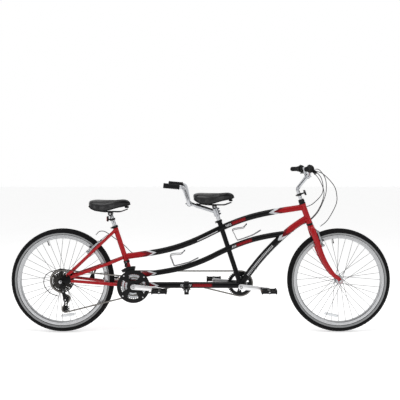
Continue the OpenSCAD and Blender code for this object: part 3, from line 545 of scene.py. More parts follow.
grip_rubber = finish_of("grip_rubber", (0.009, 0.009, 0.010), 0.72, 0.0, 0.35, 900, 0.5, 0.0002,
                        Specular_IOR_Level=0.15)
plastic = finish_of("black_plastic", (0.007, 0.007, 0.0075), 0.42, 0.0, 0.25, 1200, 0.25, 0.0001,
                    Specular_IOR_Level=0.15)
housing = finish_of("cable_jacket", (0.006, 0.006, 0.0065), 0.40, 0.0, 0.2, 1500, 0.15, 0.00008)
pad_rubber = finish_of("pad_rubber", (0.022, 0.022, 0.023), 0.8, 0.0, 0.3, 800, 0.5, 0.0002)
clear = finish_of("clear_lens", (0.80, 0.82, 0.84), 0.18, 0.0, 0.06, 260, 0.6, 0.0006, coat=0.5)
amber = finish_of("amber_lens", (0.75, 0.22, 0.02), 0.2, 0.0, 0.12, 260, 0.6, 0.0005, coat=0.5)
red_lens = finish_of("red_lens", (0.45, 0.01, 0.01), 0.2, 0.0, 0.15, 260, 0.6, 0.0005, coat=0.5)


def tube_paint(name, path, zones, point, decals=()):
    """Paint whose colour changes along a tube at pointed edges. Zones are (forward X, colour); decals are
    (from X, to X, colour, kind), kind panel, bars or line."""
    def run(x):
        return float(np.interp(x, path[:, 0], lengths)) * MM
    lengths = lengths_along(path)
    total = lengths[-1] * MM
    n = Nodes(name)
    split = n.tree.nodes.new("ShaderNodeSeparateXYZ")
    n.tree.links.new(n.place.outputs["UV"], split.inputs[0])
    u, v = split.outputs[0], split.outputs[1]
    level = n.math("ABSOLUTE", n.math("COSINE", n.math("MULTIPLY", v, TAU)))
    side = n.math("SUBTRACT", 1.0, level)
    front = n.math("SUBTRACT", n.math("MULTIPLY", n.math("GREATER_THAN", u, total / 2), 2.0), 1.0)
    wobble = n.math("MULTIPLY", n.math("SUBTRACT", n.noise(60, 2), 0.5), 0.012)
    w = n.math("ADD", n.math("ADD", u, n.math("MULTIPLY", n.math("MULTIPLY", side, point * MM), front)),
               wobble)
    ramp = n.tree.nodes.new("ShaderNodeValToRGB")
    ramp.color_ramp.interpolation = "CONSTANT"
    for i, (x, colour) in enumerate(zones):
        at = min(1, max(0, run(x) / total))
        e = ramp.color_ramp.elements[0] if i == 0 else ramp.color_ramp.elements.new(at)
        e.position, e.color = at, (*colour, 1)
    last = ramp.color_ramp.elements[-1]
    last.color = (*zones[-1][1], 1)
    n.link(n.math("DIVIDE", w, total), ramp.inputs[0])
    colour = ramp.outputs[0]
    for x0, x1, ink, kind in decals:
        inside = n.math("MULTIPLY", n.math("GREATER_THAN", u, run(x0)), n.math("LESS_THAN", u, run(x1)))
        if kind == "line":
            near = n.math("COMPARE", n.math("ABSOLUTE", n.math("SUBTRACT", v, 0.5)), 0.19, 0.022)
        else:
            near = n.math("GREATER_THAN", side, 0.42 if kind == "panel" else 0.62)
        mask = n.math("MULTIPLY", inside, near)
        if kind == "bars":
            slant = n.math("MULTIPLY", n.math("SINE", n.math("MULTIPLY", v, 2 * TAU)), 0.004)
            beat = n.math("FRACT", n.math("MULTIPLY", n.math("ADD", u, slant), 95))
            mask = n.math("MULTIPLY", mask, n.math("GREATER_THAN", beat, 0.5))
        colour = n.mix(mask, colour, ink)
    flake = n.noise(1400, 2)
    shade = n.mix(n.math("MULTIPLY", flake, 0.22), colour, (0.004, 0.004, 0.004))
    n.set(Base_Color=shade, Roughness=n.span(n.noise(30), 0.26, 0.38), Specular_IOR_Level=0.14)
    n.bump(flake, 0.08, 0.0001)
    return n.mat


# ---- frame tubes ----

TOP_PATH = knot_path(TOP_KNOTS, 16)
LOWER_PATH = knot_path(LOWER_KNOTS, 16)
DOWN_PATH = knot_path(DOWN_KNOTS, 18)
BOOM_PATH = np.linspace(REAR_BB + (17, 0, -1), FRONT_BB + (-17, 0, -1), 24)
TOP_R, LOWER_R, DOWN_R, BOOM_R, SEAT_BORE = 19, 17.5, 20, 19.5, 13.7

top_paint = tube_paint("top_tube_paint", TOP_PATH, [
    (-478, RED), (-392, MAROON), (-352, SILVER), (-330, BLACK), (478, SILVER), (508, MAROON), (534, RED),
], 46, [(-24, 104, PALE, "line"), (160, 196, PALE, "bars"), (198, 288, MAROON, "panel"),
        (204, 282, RED, "bars")])
lower_paint = tube_paint("lower_tube_paint", LOWER_PATH, [
    (-446, RED), (-378, MAROON), (-342, SILVER), (-322, BLACK),
], 42, [(200, 226, PALE, "bars"), (228, 328, MAROON, "panel"), (234, 322, RED, "bars")])
down_paint = tube_paint("down_tube_paint", DOWN_PATH, [
    (266, BLACK), (520, SILVER), (546, MAROON), (572, RED),
], 40, [(300, 462, PALE, "bars")])
boom_paint = tube_paint("boom_paint", BOOM_PATH, [
    (-409, RED), (-362, MAROON), (-334, SILVER), (-312, BLACK),
], 44, [(-128, -60, PALE, "bars"), (-54, 74, MAROON, "panel"), (-48, 66, RED, "bars")])


WELD_REACH, WELD_STEPS, WELD_RIPPLES = 9.0, 60, 20


def flared(path, r, start, end):
    """Radii that widen at a tube's ends, as the fillet of a weld."""
    run = lengths_along(path)
    return (r + start * np.exp(-((run / WELD_REACH) ** 2))
            + end * np.exp(-(((run[-1] - run) / WELD_REACH) ** 2)))


def weld(a, b, r, out):
    """A rippled bead of weld round a tube that starts at a and runs towards b."""
    ang = np.linspace(0, TAU, WELD_STEPS, endpoint=False)
    pts = np.stack([r * np.cos(ang), r * np.sin(ang), np.zeros(WELD_STEPS)], -1)
    size = out * (1 + 0.10 * np.sin(ang * WELD_RIPPLES))
    return moved(tube(pts, size, 8, cyclic=True), along(a, b))


p = Piece("head_tube_shell", "frame", "red_paint", ["head_tube"], STEERING)
p.add(revolve([(15.6, -66), (19.6, -66), (20.2, -64), (20.2, -57), (18.7, -52), (18.5, 0), (18.7, 52),
               (20.2, 57), (20.2, 64), (19.6, 66), (15.6, 66)], 64, closed=True), red)
p.done()

for name, node, path, r, paint in (
    ("top_tube_bar", "top_tube", TOP_PATH, TOP_R, top_paint),
    ("lower_tube_bar", "lower_tube", LOWER_PATH, LOWER_R, lower_paint),
    ("down_tube_bar", "down_tube", DOWN_PATH, DOWN_R, down_paint),
    ("boom_bar", "boom_tube", BOOM_PATH, BOOM_R, boom_paint),
):
    p = Piece(name, "frame", "black_paint", [node])
    p.add(tube(path, r, 40, ref=LEFT), paint)
    p.done()

for name, slot, bb, length, r, foot, top, paint in (
    ("captain_seat_tube", "black_paint", FRONT_BB, CAPTAIN_TUBE, 15.5, (16.8, 26), 15.9, black),
    ("stoker_seat_tube", "red_paint", REAR_BB, STOKER_TUBE, 16, (17.4, 27), 16.3, red),
):
    p = Piece(name + "_bar", "frame", slot, [name], on_seat(bb))
    p.add(revolve([(SEAT_BORE, 18), (foot[0], 18), (r, foot[1]), (r, length - 15), (top, length),
                   (SEAT_BORE, length)], 48, closed=True), paint)
    p.done()

p = Piece("bottom_bracket_shells", "frame", "red_paint", ["bottom_brackets"])
for bb, paint in ((REAR_BB, red), (FRONT_BB, black)):
    p.add(ring(17.4, 21, -34, 34, 64, 0.6, 0.8), paint, across(bb))
p.done()

# rippled beads where the tubes are welded
p = Piece("frame_welds", "frame", "red_paint")
for path, r, at, tone in (
    (TOP_PATH[::-1], TOP_R, 9, red), (DOWN_PATH[::-1], DOWN_R, 13, red), (TOP_PATH, TOP_R, 17, red),
    (LOWER_PATH, LOWER_R, 16, red), (BOOM_PATH, BOOM_R, 5.5, red), (BOOM_PATH[::-1], BOOM_R, 5.5, black),
    (DOWN_PATH, DOWN_R, 6, black),
):
    run = lengths_along(path)
    spot = np.array([np.interp(at, run, path[:, k]) for k in range(3)])
    ahead = np.array([np.interp(at + 5, run, path[:, k]) for k in range(3)])
    p.add(weld(spot, ahead, r - 0.3, 1.9), tone)
p.add(weld(FRONT_BB + 21.5 * SEAT_DIR, FRONT_BB + 60 * SEAT_DIR, 15.6, 2.0), black)
p.add(weld(REAR_BB + 21.5 * SEAT_DIR, REAR_BB + 60 * SEAT_DIR, 16.2, 2.0), red)
p.done(60)

STAY_FOOT = REAR_AXLE + (38, 65, 36)
STAY_TOP = REAR_BB + 372 * SEAT_DIR + (-3, 25, 0)
RISE = math.radians(43)
REAR_BRAKE = placed(
    REAR_AXLE + 12.5 * np.array([-math.sin(RISE), 0, math.cos(RISE)]),
    (-math.sin(RISE), 0, math.cos(RISE)), LEFT, (math.cos(RISE), 0, math.sin(RISE)),
)
FRONT_BRAKE = STEERING @ shifted(AXLE_LOCAL[0] - 34, 0, AXLE_LOCAL[2])
BOSS_R, BOSS_Y = 247, 41


def boss(depth):
    """The brake boss on a stay, with the head of the bolt that holds the arm."""
    return revolve([(0, depth), (7.6, depth), (7, depth + 3), (7, -0.6), (4, -0.6), (4, 16), (0, 16)], 32)


BOSS_AT = forward((0, BOSS_Y, BOSS_R))

p = Piece("seat_stay_bars", "frame", "red_paint", ["seat_stays"])
line = np.linspace(STAY_FOOT, STAY_TOP, 20)
line[-1] = STAY_TOP + (4, -4, 5)
p.add(tube(line, flared(line, 9.5, 1.5, 1.0), 28, ref=LEFT), red, mirror=True)
bridge = STAY_TOP + 0.13 * (STAY_FOOT - STAY_TOP)
cross = np.linspace(bridge * (1, -0.85, 1), bridge * (1, 0.85, 1), 14)
p.add(tube(cross, flared(cross, 7, 1.5, 1.5), 24, ref=(1, 0, 0)), red)
p.add(boss(-9), red, REAR_BRAKE @ BOSS_AT, mirror=True)
p.done()

p = Piece("middle_stay_bars", "frame", "red_paint", ["middle_stays"])
line = spline(MIDDLE_STAY, 7)
p.add(tube(line, np.linspace(9, 10.5, len(line)), 28, ref=(0, 0, 1)), red, mirror=True)
for foot in (MIDDLE_STAY, CHAIN_STAY):
    tip = [np.add(foot[0], (-10, 0, -3)), foot[0], np.add(foot[0], (10, -1, 3))]
    p.add(tube(tip, [5, 8.4, 9], 24), red, mirror=True)
p.done()

p = Piece("chain_stay_bars", "frame", "red_paint", ["chain_stays"])
line = spline(CHAIN_STAY, 7)
p.add(tube(line, np.linspace(9, 11.5, len(line)), 28, ref=(0, 0, 1)), red, mirror=True)
dropout = rounded([(-4, 17), (28, 44), (46, 46), (64, 26), (66, -4), (40, -14), (0, -17), (-14, -11),
                   (-17.5, 0), (-14, 11)], 7, 7)
slot = stadium((-1.5, 0), (1.5, 0), 5.3, 5.3)
for s in (1, -1):
    p.add(plate([dropout, slot], 5, 0.6, across(REAR_AXLE + (0, s * 72.5, 0))), black)
p.done()

# ---- wheels ----


# the middle of a tyre's section from the axle, its height and half width, and its tread's steps and blocks
TREAD_MIDDLE, TREAD_RISE, TREAD_HALF = 305.6, 24.4, 23.6
TREAD_STEPS, TREAD_BLOCKS, TREAD_EDGE = 504, 84, 78


def tyre_shells():
    """The tread with its blocks, and the profiles of the sidewall, its band, the bead and the inside."""
    seg = TREAD_STEPS
    lean = np.radians(np.concatenate([
        np.linspace(-TREAD_EDGE, -60, 4), np.linspace(-57, 57, 33), np.linspace(60, TREAD_EDGE, 4)]))
    across_y = TREAD_HALF * np.sin(lean)
    up = TREAD_MIDDLE + TREAD_RISE * np.cos(lean)
    turn = np.arange(seg)
    depth = np.zeros((seg, len(lean)))
    for k, a in enumerate(np.degrees(lean)):
        phase = (turn * TREAD_BLOCKS / seg + (0.5 if abs(a) > 33 else 0)) % 1
        tilt = (turn * TREAD_BLOCKS / seg + abs(a) / 60) % 1
        if abs(a) < 7:
            continue
        if abs(a) < 11 or 29 < abs(a) < 34:
            depth[:, k] = 2.0
        elif abs(a) < 30:
            depth[:, k] = np.where(tilt < 0.3, 2.0, 0)
        elif abs(a) < 62:
            depth[:, k] = np.where(phase < 0.36, 2.2, 0)
    r = up[None, :] - depth
    y = np.broadcast_to(across_y, r.shape)
    theta = turn * TAU / seg
    v = np.stack([r * np.cos(theta)[:, None], r * np.sin(theta)[:, None], y], -1)
    n = len(lean)
    faces = [(i * n + k, ((i + 1) % seg) * n + k, ((i + 1) % seg) * n + k + 1, i * n + k + 1)
             for i in range(seg) for k in range(n - 1)]
    tread = (v.reshape(-1, 3), faces, None)
    edge = math.radians(TREAD_EDGE)
    edge_y, edge_r = TREAD_HALF * math.sin(edge), TREAD_MIDDLE + TREAD_RISE * math.cos(edge)
    wall = [(edge_r, edge_y), (edge_r - 4, TREAD_HALF), (303.6, 23.5), (303.2, 23.9), (302.4, 23.9),
            (302.0, 23.3)]
    band = [(302.0, 23.3), (298, 22.0), (294, 19.9), (291.4, 17.6)]
    bead = [(291.4, 17.6), (290.6, 15.6), (288.5, 13.6), (284, 10.5), (283, 9)]
    inner = [(283, 9), (300, 16), (318, 15), (325, 0), (318, -15), (300, -16), (283, -9)]
    return tread, wall, band, bead, inner


def tyre(name, centre, body, node):
    p = Piece(name, body, "tyre_rubber", [node], across(centre))
    tread, wall, band, bead, inner = tyre_shells()
    p.add(tread, rubber)
    for part, tone in ((wall, rubber), (band, wall_band), (bead, rubber)):
        for s in (1, -1):
            p.add(revolve([(r, s * y) for r, y in part], 168), tone)
    p.add(revolve(inner, 96), rubber)
    p.done(32)


def rim(name, centre, body, node):
    """A box-section rim with brake tracks, a wear line, spoke sockets and the tyre's valve."""
    p = Piece(name, body, "bright_alloy", [node], across(centre))
    inner = [(289, 12.2), (283, 12.2), (280, 9), (278, 4), (278, -4), (280, -9), (283, -12.2), (289, -12.2)]
    p.add(revolve([(289.6, -13.2)] + [(r, y) for r, y in reversed(inner)] + [(289.6, 13.2)], 144), rim_alloy)
    for s in (1, -1):
        p.add(revolve([(r, s * y) for r, y in (
            (289.6, 13.2), (290, 13.7), (289, 14.1), (286, 14.0), (281.4, 14.0), (281.0, 13.5), (280.2, 13.5),
            (279.8, 14.0), (273.6, 14.0))], 192), track)
    p.add(revolve([(273.6, 14.0), (272.8, 13.4), (270.5, 12.8), (267, 10.2), (265.4, 6.5), (265, 2.5),
                   (265, -2.5), (265.4, -6.5), (267, -10.2), (270.5, -12.8), (272.8, -13.4), (273.6, -14.0)],
                  192), rim_alloy)
    for i in range(SPOKES):
        a = i * TAU / SPOKES
        s = 1 if i % 2 == 0 else -1
        m = along(polar(266.4, a, 3 * s), polar(240, a, 5 * s))
        p.add(revolve([(3.6, 0), (3.6, 1.2), (2.6, 1.8), (1.9, 2)], 12), bolt_steel, m)
    # valve
    a = math.radians(112 if name.startswith("rear") else 98)
    m = along(polar(268, a), polar(200, a))
    p.add(revolve([(0, 0), (4.6, 0), (4.4, 3), (3.3, 4), (3.0, 21), (3.9, 21.4), (4.1, 23), (4.1, 30),
                   (3.2, 32.5), (0, 33)], 20), plastic, m)
    p.done(30)


def hub(name, centre, body, node, flange, left, right, end, end_r):
    """A hub shell, and its spokes with their elbows and nipples. flange is the radius of the spoke holes,
    left and right place the flanges, and end and end_r are the shell's ends."""
    p = Piece(name, body, "bright_alloy", [node], across(centre))
    p.add(revolve([
        (5.3, -end), (end_r - 1, -end), (end_r, -end + 1), (end_r, -left - 3), (14, -left - 1.5),
        (flange + 4, -left - 0.5), (flange + 5, -left + 0.6), (flange + 4.6, -left + 2.8), (17, -left + 3.6),
        (14.2, -left + 9), (13.6, 0), (14.2, -right - 9), (17, -right - 3.6), (flange + 4.6, -right - 2.8),
        (flange + 5, -right - 0.6), (flange + 4, -right + 0.5), (14, -right + 1.5), (end_r, -right + 3),
        (end_r, end - 1), (end_r - 1, end), (5.3, end)], 64, closed=True), satin)
    half = SPOKES // 2
    for i in range(half):
        for s in (1, -1):
            lead = math.radians(62 if i % 2 == 0 else -62)
            rim_a = i * TAU / half + (0 if s > 0 else TAU / half / 2)
            hub_a = rim_a + lead
            flange_y = -left + 1.6 if s > 0 else -right - 1.6
            side = -1.9 if (i % 2 == 0) == (s > 0) else 1.9
            hole, top = polar(flange, hub_a, flange_y), polar(266, rim_a, -s * 3)
            start = hole + (0, 0, side)
            d = unit(top - start)
            path = np.array([hole - (0, 0, side * 0.6), hole + (0, 0, side * 0.3), start + d * 1.2,
                             start + d * 6, start + (top - start) * 0.5, top])
            p.add(tube(path, SPOKE_R, 8), spoke_steel)
            p.add(moved(revolve([(1.9, 0), (1.9, 7), (1.5, 12), (1.1, 12.6)], 10), along(top, start)),
                  bolt_steel)
    p.done(30)


REFLECTOR_R = 228


def spoke_reflector(name, centre, body, angle):
    """A clear reflector with its clips, across the spokes at an angle in degrees."""
    p = Piece(name, body, "bright_alloy")
    m = across(centre) @ spun(angle) @ shifted(REFLECTOR_R, 0, 0) @ spun(90)
    shape = rounded([(-45, -7), (-30, -9), (30, -9), (45, -7), (45, 6), (30, 9), (-30, 9), (-45, 6)], 5)
    p.add(plate([shape], 9, 1.2, m @ shifted(0, 0, 2)), clear)
    for x in (-38, -19, 0, 19, 38):
        p.add(block((2.4, 19, 10.6), 0.8, m @ shifted(x, 0, 2)), clear)
    p.done()


def hex_nut(r, h):
    return plate([circle(r, 6), circle(r * 0.5, 24)], h, min(0.8, h * 0.2))


AXLE_R, THREAD_PITCH, THREAD_DEPTH, DROPOUT_T = 4.9, 1.0, 0.55, 5


def thread(a, b):
    """The profile of a threaded end between two heights of local z."""
    out, z, up = [(0, a)], a, True
    while z < b:
        out.append((AXLE_R if up else AXLE_R - THREAD_DEPTH, z))
        z, up = z + THREAD_PITCH / 2, not up
    return out + [(0, b)]


def axle(name, centre, body, node, inner, cone, spacer):
    """Cones, washers, nuts and threaded ends of a solid axle. inner is the inside of the dropouts."""
    p = Piece(name, body, "bright_alloy", [node], across(centre))
    out = inner + DROPOUT_T
    p.add(revolve(thread(-out - 20, -out - 9), 24), bolt_steel)
    p.add(revolve(thread(out + spacer + 9, out + spacer + 20), 24), bolt_steel)
    p.add(peg(4.8, -out - 9, out + spacer + 9, 24), bolt_steel)
    for z in (-out - 6.3, out + spacer + 6.3):
        p.add(hex_nut(8.7, 8.4), bolt_steel, shifted(0, 0, z))
    for z in (-out - 1, out + spacer + 1):
        p.add(revolve([(5, -0.9), (10.4, -0.9), (10.4, 0.9), (5, 0.9)], 32, closed=True), bolt_steel,
              shifted(0, 0, z))
    for s in (1, -1):
        p.add(revolve([(5, s * cone), (6.4, s * cone), (8.0, s * (cone + 2.4)), (8.0, s * inner),
                       (5, s * inner)], 32, closed=True), bolt_steel)
    p.done(30)


for build, part in ((tyre, "tyre_tread"), (rim, "rim_hoop")):
    for end, centre in (("front", FRONT_AXLE), ("rear", REAR_AXLE)):
        build(f"{end}_{part}", centre, end + "_wheel", f"{end}_{part.split('_')[0]}")
hub("front_hub_spokes", FRONT_AXLE, "front_wheel", "front_hub", flange=19, left=33, right=-33, end=41,
    end_r=12)
hub("rear_hub_spokes", REAR_AXLE, "rear_wheel", "rear_hub", flange=22, left=34, right=-27, end=60, end_r=10)
spoke_reflector("front_spoke_reflector", FRONT_AXLE, "front_wheel", angle=-102)
spoke_reflector("rear_spoke_reflector", REAR_AXLE, "rear_wheel", angle=-82)
axle("front_axle_nuts", FRONT_AXLE, "fork", "front_axle", inner=50, cone=41.5, spacer=0)
axle("rear_axle_nuts", REAR_AXLE, "frame", "rear_axle", inner=70, cone=61, spacer=4)

# ---- fork, headset and stem ----

p = Piece("fork_legs", "fork", "red_paint", ["fork"], STEERING)
foot = AXLE_LOCAL
blade = spline([(1, 20, -90), (0, 35, -102), (0, 43, -128), (0, 45, -200), (1, 46, -280), (9, 49, -345),
                (28, 53, -418), (foot[0] - 6, 54, foot[2] + 22), (foot[0] - 1, 54, foot[2] + 8)], 7)
taper = np.interp(np.arange(len(blade)), [0, 8, 20, len(blade) - 1], [13, 15, 14.4, 8.6])
p.add(tube(blade, taper, 32, ref=(1, 0, 0), squash=(0.94, 1.24)), red, mirror=True)
p.add(revolve([(0, -113), (17, -113), (20.4, -110), (21, -104), (21, -88), (19.6, -82), (19, -79.4),
               (0, -79.4)], 56), red)
tip = rounded([(-13, 2), (-12, 27), (3, 25), (13, 4), (12, -9), (5, -14), (-6, -14), (-13, -8)], 5, 6)
for s in (1, -1):
    p.add(plate([tip, circle(5.2, 24)], 5, 0.6, across((foot[0], s * 52.5, foot[2]))), red)
p.place = np.eye(4)
p.add(boss(-14), red, FRONT_BRAKE @ BOSS_AT, mirror=True)
p.done()

p = Piece("headset_cups", "frame", "dark_steel", place=STEERING)
p.add(revolve([(15, 66), (20.6, 66), (21.2, 67.2), (21.2, 70), (19.2, 73), (18.8, 77.6), (15, 77.6)], 56,
              closed=True), dark_steel)
p.add(revolve([(15, -66), (20.6, -66), (21.2, -67.2), (21.2, -70), (19.6, -73), (20.2, -78.6), (15, -78.6)],
              56, closed=True), dark_steel)
p.done()
p = Piece("headset_nuts", "fork", "dark_steel", place=STEERING)
p.add(revolve([(14.5, 78.4), (19.6, 78.4), (20.2, 79.4), (20.2, 85.6), (19.2, 86.6), (14.5, 86.6)], 56,
              closed=True), dark_steel)
p.add(plate([circle(19.4, 8), circle(11.6, 32)], 8.4, 0.9, shifted(0, 0, 91.2)), dark_steel)
p.add(revolve([(11.3, 95), (15.4, 95.2), (14.2, 97.4), (11.3, 97.6)], 40, closed=True), dark_steel)
p.done()

p = Piece("stem_quill", "fork", "bright_alloy", ["stem"])
bend = HEAD + 168 * HEAD_DIR
d0, d1 = HEAD_DIR, unit(BAR_CLAMP - (4, 0, 5) - bend)
turn = [(1 - t) ** 2 * (bend - 13 * d0) + 2 * t * (1 - t) * bend + t**2 * (bend + 13 * d1)
        for t in np.linspace(0, 1, 9)]
quill = np.array([HEAD + 60 * d0, HEAD + 110 * d0, HEAD + 140 * d0] + turn +
                 [bend + 40 * d1, BAR_CLAMP - 16 * d1])
p.add(tube(quill, np.interp(np.arange(len(quill)), [0, len(quill) - 2, len(quill) - 1], [11.1, 11.6, 12.8]),
           32, ref=LEFT), alloy)
p.add(ring(12.8, 18, -21, 21, 48, 1), alloy, across(BAR_CLAMP))
cap = across(BAR_CLAMP) @ spun(18)
p.add(block((10, 8, 40), 2, cap @ shifted(17, 9, 0)), alloy)
p.add(block((10, 8, 40), 2, cap @ shifted(17, -9, 0)), alloy)
for z in (-12, 12):
    p.add(revolve([(2.4, -2), (4.2, -2), (4.2, 4), (3.6, 4.6), (0, 4.6)], 20), bolt_steel,
          cap @ placed((17, 13, z), (1, 0, 0), (0, 0, 1), (0, 1, 0)))
    p.add(rod((17, -14, z), (17, 14, z), 2.4, 12), bolt_steel, cap)
p.done()

# ---- handlebars ----

half = np.concatenate([[BAR_CLAMP], spline(
    [BAR_CLAMP + (0, 42, 0), BAR_CLAMP + (1, 62, 8), BAR_CLAMP + (2, 100, 34), GRIP_END + 166 * GRIP_DIR,
     GRIP_END + 150 * GRIP_DIR, GRIP_END], 9)])
whole = np.concatenate([flip(half[:0:-1]), half])
p = Piece("captain_handlebar", "fork", "bright_alloy", ["handlebar"])
wide = 11 + 1.7 * np.clip((62 - np.abs(whole[:, 1])) / 14, 0, 1)
p.add(tube(whole, wide, 32, ref=(1, 0, 0)), alloy)
p.done()

path = np.array(STOKER_PATH, float)
half = np.concatenate([[path[0]], spline(path[1:], 8)])
whole = np.concatenate([flip(half[:0:-1]), half])
p = Piece("stoker_handlebar", "captain_post", "bright_alloy", ["stoker_bar"])
wide = 11 + 1.7 * np.clip((50 - np.abs(whole[:, 1])) / 12, 0, 1)
p.add(tube(whole, wide, 32, ref=(1, 0, 1)), alloy)
p.done()


GRIP_BORE = 11.2


def grip_profile(length, r, ribs):
    """A ribbed rubber grip from its closed outer end, with a flange at the inner end."""
    out = [(0, -3.4), (r - 4, -3.2), (r - 1, -2.2), (r, 0.5), (r, 4), (r - 1, 6)]
    span = (length - 18) / ribs
    for i in range(ribs):
        z = 8 + i * span
        out += [(r - 1.3, z), (r - 0.2, z + span * 0.22), (r - 0.2, z + span * 0.62),
                (r - 1.3, z + span * 0.82)]
    return out + [(r - 1, length - 8), (r + 1.0, length - 5), (r + 1.4, length - 2.5), (r + 0.6, length),
                  (GRIP_BORE, length)]


p = Piece("grips_rubber", "fork", "grip_rubber", ["grips_and_mounts"])
p.add(revolve(grip_profile(84, 15.5, 13), 40), grip_rubber, GRIP, mirror=True)
# the lever's clamp and its open bracket
p.add(ring(11.2, 16.2, 140, 160, 40, 0.8, 1), plastic, LEVER, mirror=True)
for x in (-6.8, 6.8):
    p.add(plate([rounded([(8, 141), (24, 139), (36, 142), (38, 150), (35, 158), (24, 161), (8, 159)], 5)],
                4.2, 0.9, forward((x, 0, 0))), plastic, LEVER, mirror=True)
p.add(block((10, 10, 17), 2, shifted(0, 16, 150)), plastic, LEVER, mirror=True)
p.add(revolve([(0, 0), (4.6, 0), (4.8, 6), (4.0, 7), (4.0, 13), (3.2, 14), (0, 14)], 20), plastic,
      LEVER @ along((0, 21, 158), (0, 26, 178)), mirror=True)
p.add(rod((-9.6, 30, 150), (9.6, 30, 150), 2.6, 16), bolt_steel, LEVER, mirror=True)
p.done(34)

p = Piece("stoker_grips", "captain_post", "grip_rubber")
tail, knee = path[-1] + (-4, 0, 0), path[-2] + (4, -1, 0)
grip_m = along(tail, knee)
p.add(revolve(grip_profile(float(np.linalg.norm(knee - tail)), 15.8, 13), 40), grip_rubber, grip_m,
      mirror=True)
p.done(34)

for name, mirror in (("left", np.eye(4)), ("right", MIRROR)):
    # twist shifter: ribbed sleeve, housing and window
    p = Piece(name + "_twist_sleeve", name + "_shifter", "black_plastic", [name + "_shifter"], mirror @ GRIP)
    n, rows = 144, [(86, 0), (87, 1), (89, 2), (118, 2), (122, 1), (123.6, 0)]
    a = np.linspace(0, TAU, n, endpoint=False)
    ribs = 1.1 * np.clip(np.sin(a * 18) * 2.2, -1, 1)
    rings = []
    for z, k in rows:
        r = (16.4, 17.2, 17.6)[k] + (ribs if k == 2 else 0)
        rings.append(np.stack([r * np.cos(a), r * np.sin(a), np.full(n, float(z))], -1))
    rings = np.array(rings)
    p.add(ring_path(rings[:, 0], rings), grip_rubber)
    p.done(30)
    p = Piece(name + "_shift_housing", name + "_shifter", "black_plastic", place=mirror @ GRIP)
    p.add(revolve([(11.4, 124.2), (21, 124.2), (24, 125.2), (24.8, 128), (24.8, 134), (23.4, 137), (20, 138),
                   (11.4, 138)], 56, closed=True), plastic)
    p.add(block((11, 15, 12), 2.4, spun(200) @ shifted(21, 0, 131.4)), plastic)
    p.add(block((2, 13, 9), 0.8, spun(200) @ shifted(26.4, 0, 131.4)), clear)
    for k in range(5):
        p.add(block((0.8, 1.1, 3.5), 0.2, spun(200) @ shifted(27.4, -4.8 + 2.4 * k, 131.4)), grip_rubber)
    p.done(34)
    # lever blade
    p = Piece(name + "_lever_blade", name + "_brake_lever", "black_plastic", [name + "_brake_lever"],
              mirror @ LEVER)
    blade = spline([(0, 31, 153), (0, 40, 145), (0, 47, 133), (0, 48.4, 112), (0, 47.6, 86), (0, 47.4, 66),
                    (0, 48.4, 54), (0, 50.2, 47)], 6)
    thick = np.interp(np.arange(len(blade)), [0, 6, 20, 36, len(blade) - 1], [3.6, 3.9, 3.1, 3.3, 3.2])
    p.add(tube(blade, thick, 24, ref=(1, 0, 0), squash=(1, 1.75)), plastic)
    p.add(ring(0, 6.6, -4.2, 4.2, 32, 0.6), plastic, forward((0, 30, 150)))
    p.done(40)

# front reflector on its ring
p = Piece("front_reflector_body", "fork", "black_plastic", ["front_reflector"], STEERING)
p.add(ring(11.3, 15, 122, 136, 40, 0.6, 0.8), plastic)
p.add(block((22, 8, 9), 1.6, shifted(22, 0, 129)), plastic)
p.add(block((10, 18, 9), 1.6, shifted(-17, 0, 129)), plastic)
p.add(rod((-17, -11, 129), (-17, 11, 129), 2.4, 12), bolt_steel)
p.add(plate([oblong(24, 17, 7, 7)], 7, 1.2, forward((38.5, 0, 129))), plastic)
p.done()
p = Piece("front_reflector_lens", "fork", "black_plastic", place=STEERING)
p.add(plate([oblong(22, 15, 6, 7)], 2.6, 0.8, forward((42.6, 0, 129))), clear)
p.done()

# ---- cranks, rings and chains ----


def tooth_ring(teeth, inner, phase=0.0, tip=3.7, windows=()):
    """A toothed outline, its bore and its windows. phase turns the tooth gaps, in radians."""
    r = pitch_r(teeth)
    shape = [(-0.5, -3.6), (-0.36, -2.9), (-0.27, -1.2), (-0.19, 1.4), (-0.09, tip), (0.09, tip), (0.19, 1.4),
             (0.27, -1.2), (0.36, -2.9)]
    outline = []
    for i in range(teeth):
        for q, out in shape:
            a = phase + (i + 0.5 + q) * TAU / teeth
            outline.append(((r + out) * math.cos(a), (r + out) * math.sin(a)))
    return [outline, circle(inner, 72)] + list(windows)


def sector(r0, r1, lo, hi, n, corner):
    """The outline between two radii and two angles, with rounded corners."""
    pts = [(r1 * math.cos(a), r1 * math.sin(a)) for a in np.linspace(lo, hi, n)]
    pts += [(r0 * math.cos(a), r0 * math.sin(a)) for a in np.linspace(hi, lo, n)]
    return rounded(pts, corner, 3)


def arc_window(r0, r1, middle, half):
    return sector(r0, r1, middle - half, middle + half, 14, 5)


def loop(circles):
    """A closed path round circles (x, z, radius, turn)."""
    def run_angle(a, b):
        d = (b[0] - a[0], b[1] - a[1])
        return math.atan2(d[1], d[0]) - math.asin((b[3] * b[2] - a[3] * a[2]) / math.hypot(*d))
    pts = []
    n = len(circles)
    for i, c in enumerate(circles):
        a0, a1 = run_angle(circles[i - 1], c), run_angle(c, circles[(i + 1) % n])
        sweep = (a1 - a0) % TAU if c[3] > 0 else -((a0 - a1) % TAU)
        k = max(3, int(abs(sweep) / math.radians(2)))
        for t in np.linspace(0, 1, k + 1):
            a = a0 + sweep * t
            r = c[3] * c[2]
            pts.append((c[0] + r * math.sin(a), c[1] - r * math.cos(a)))
    return np.array(pts)


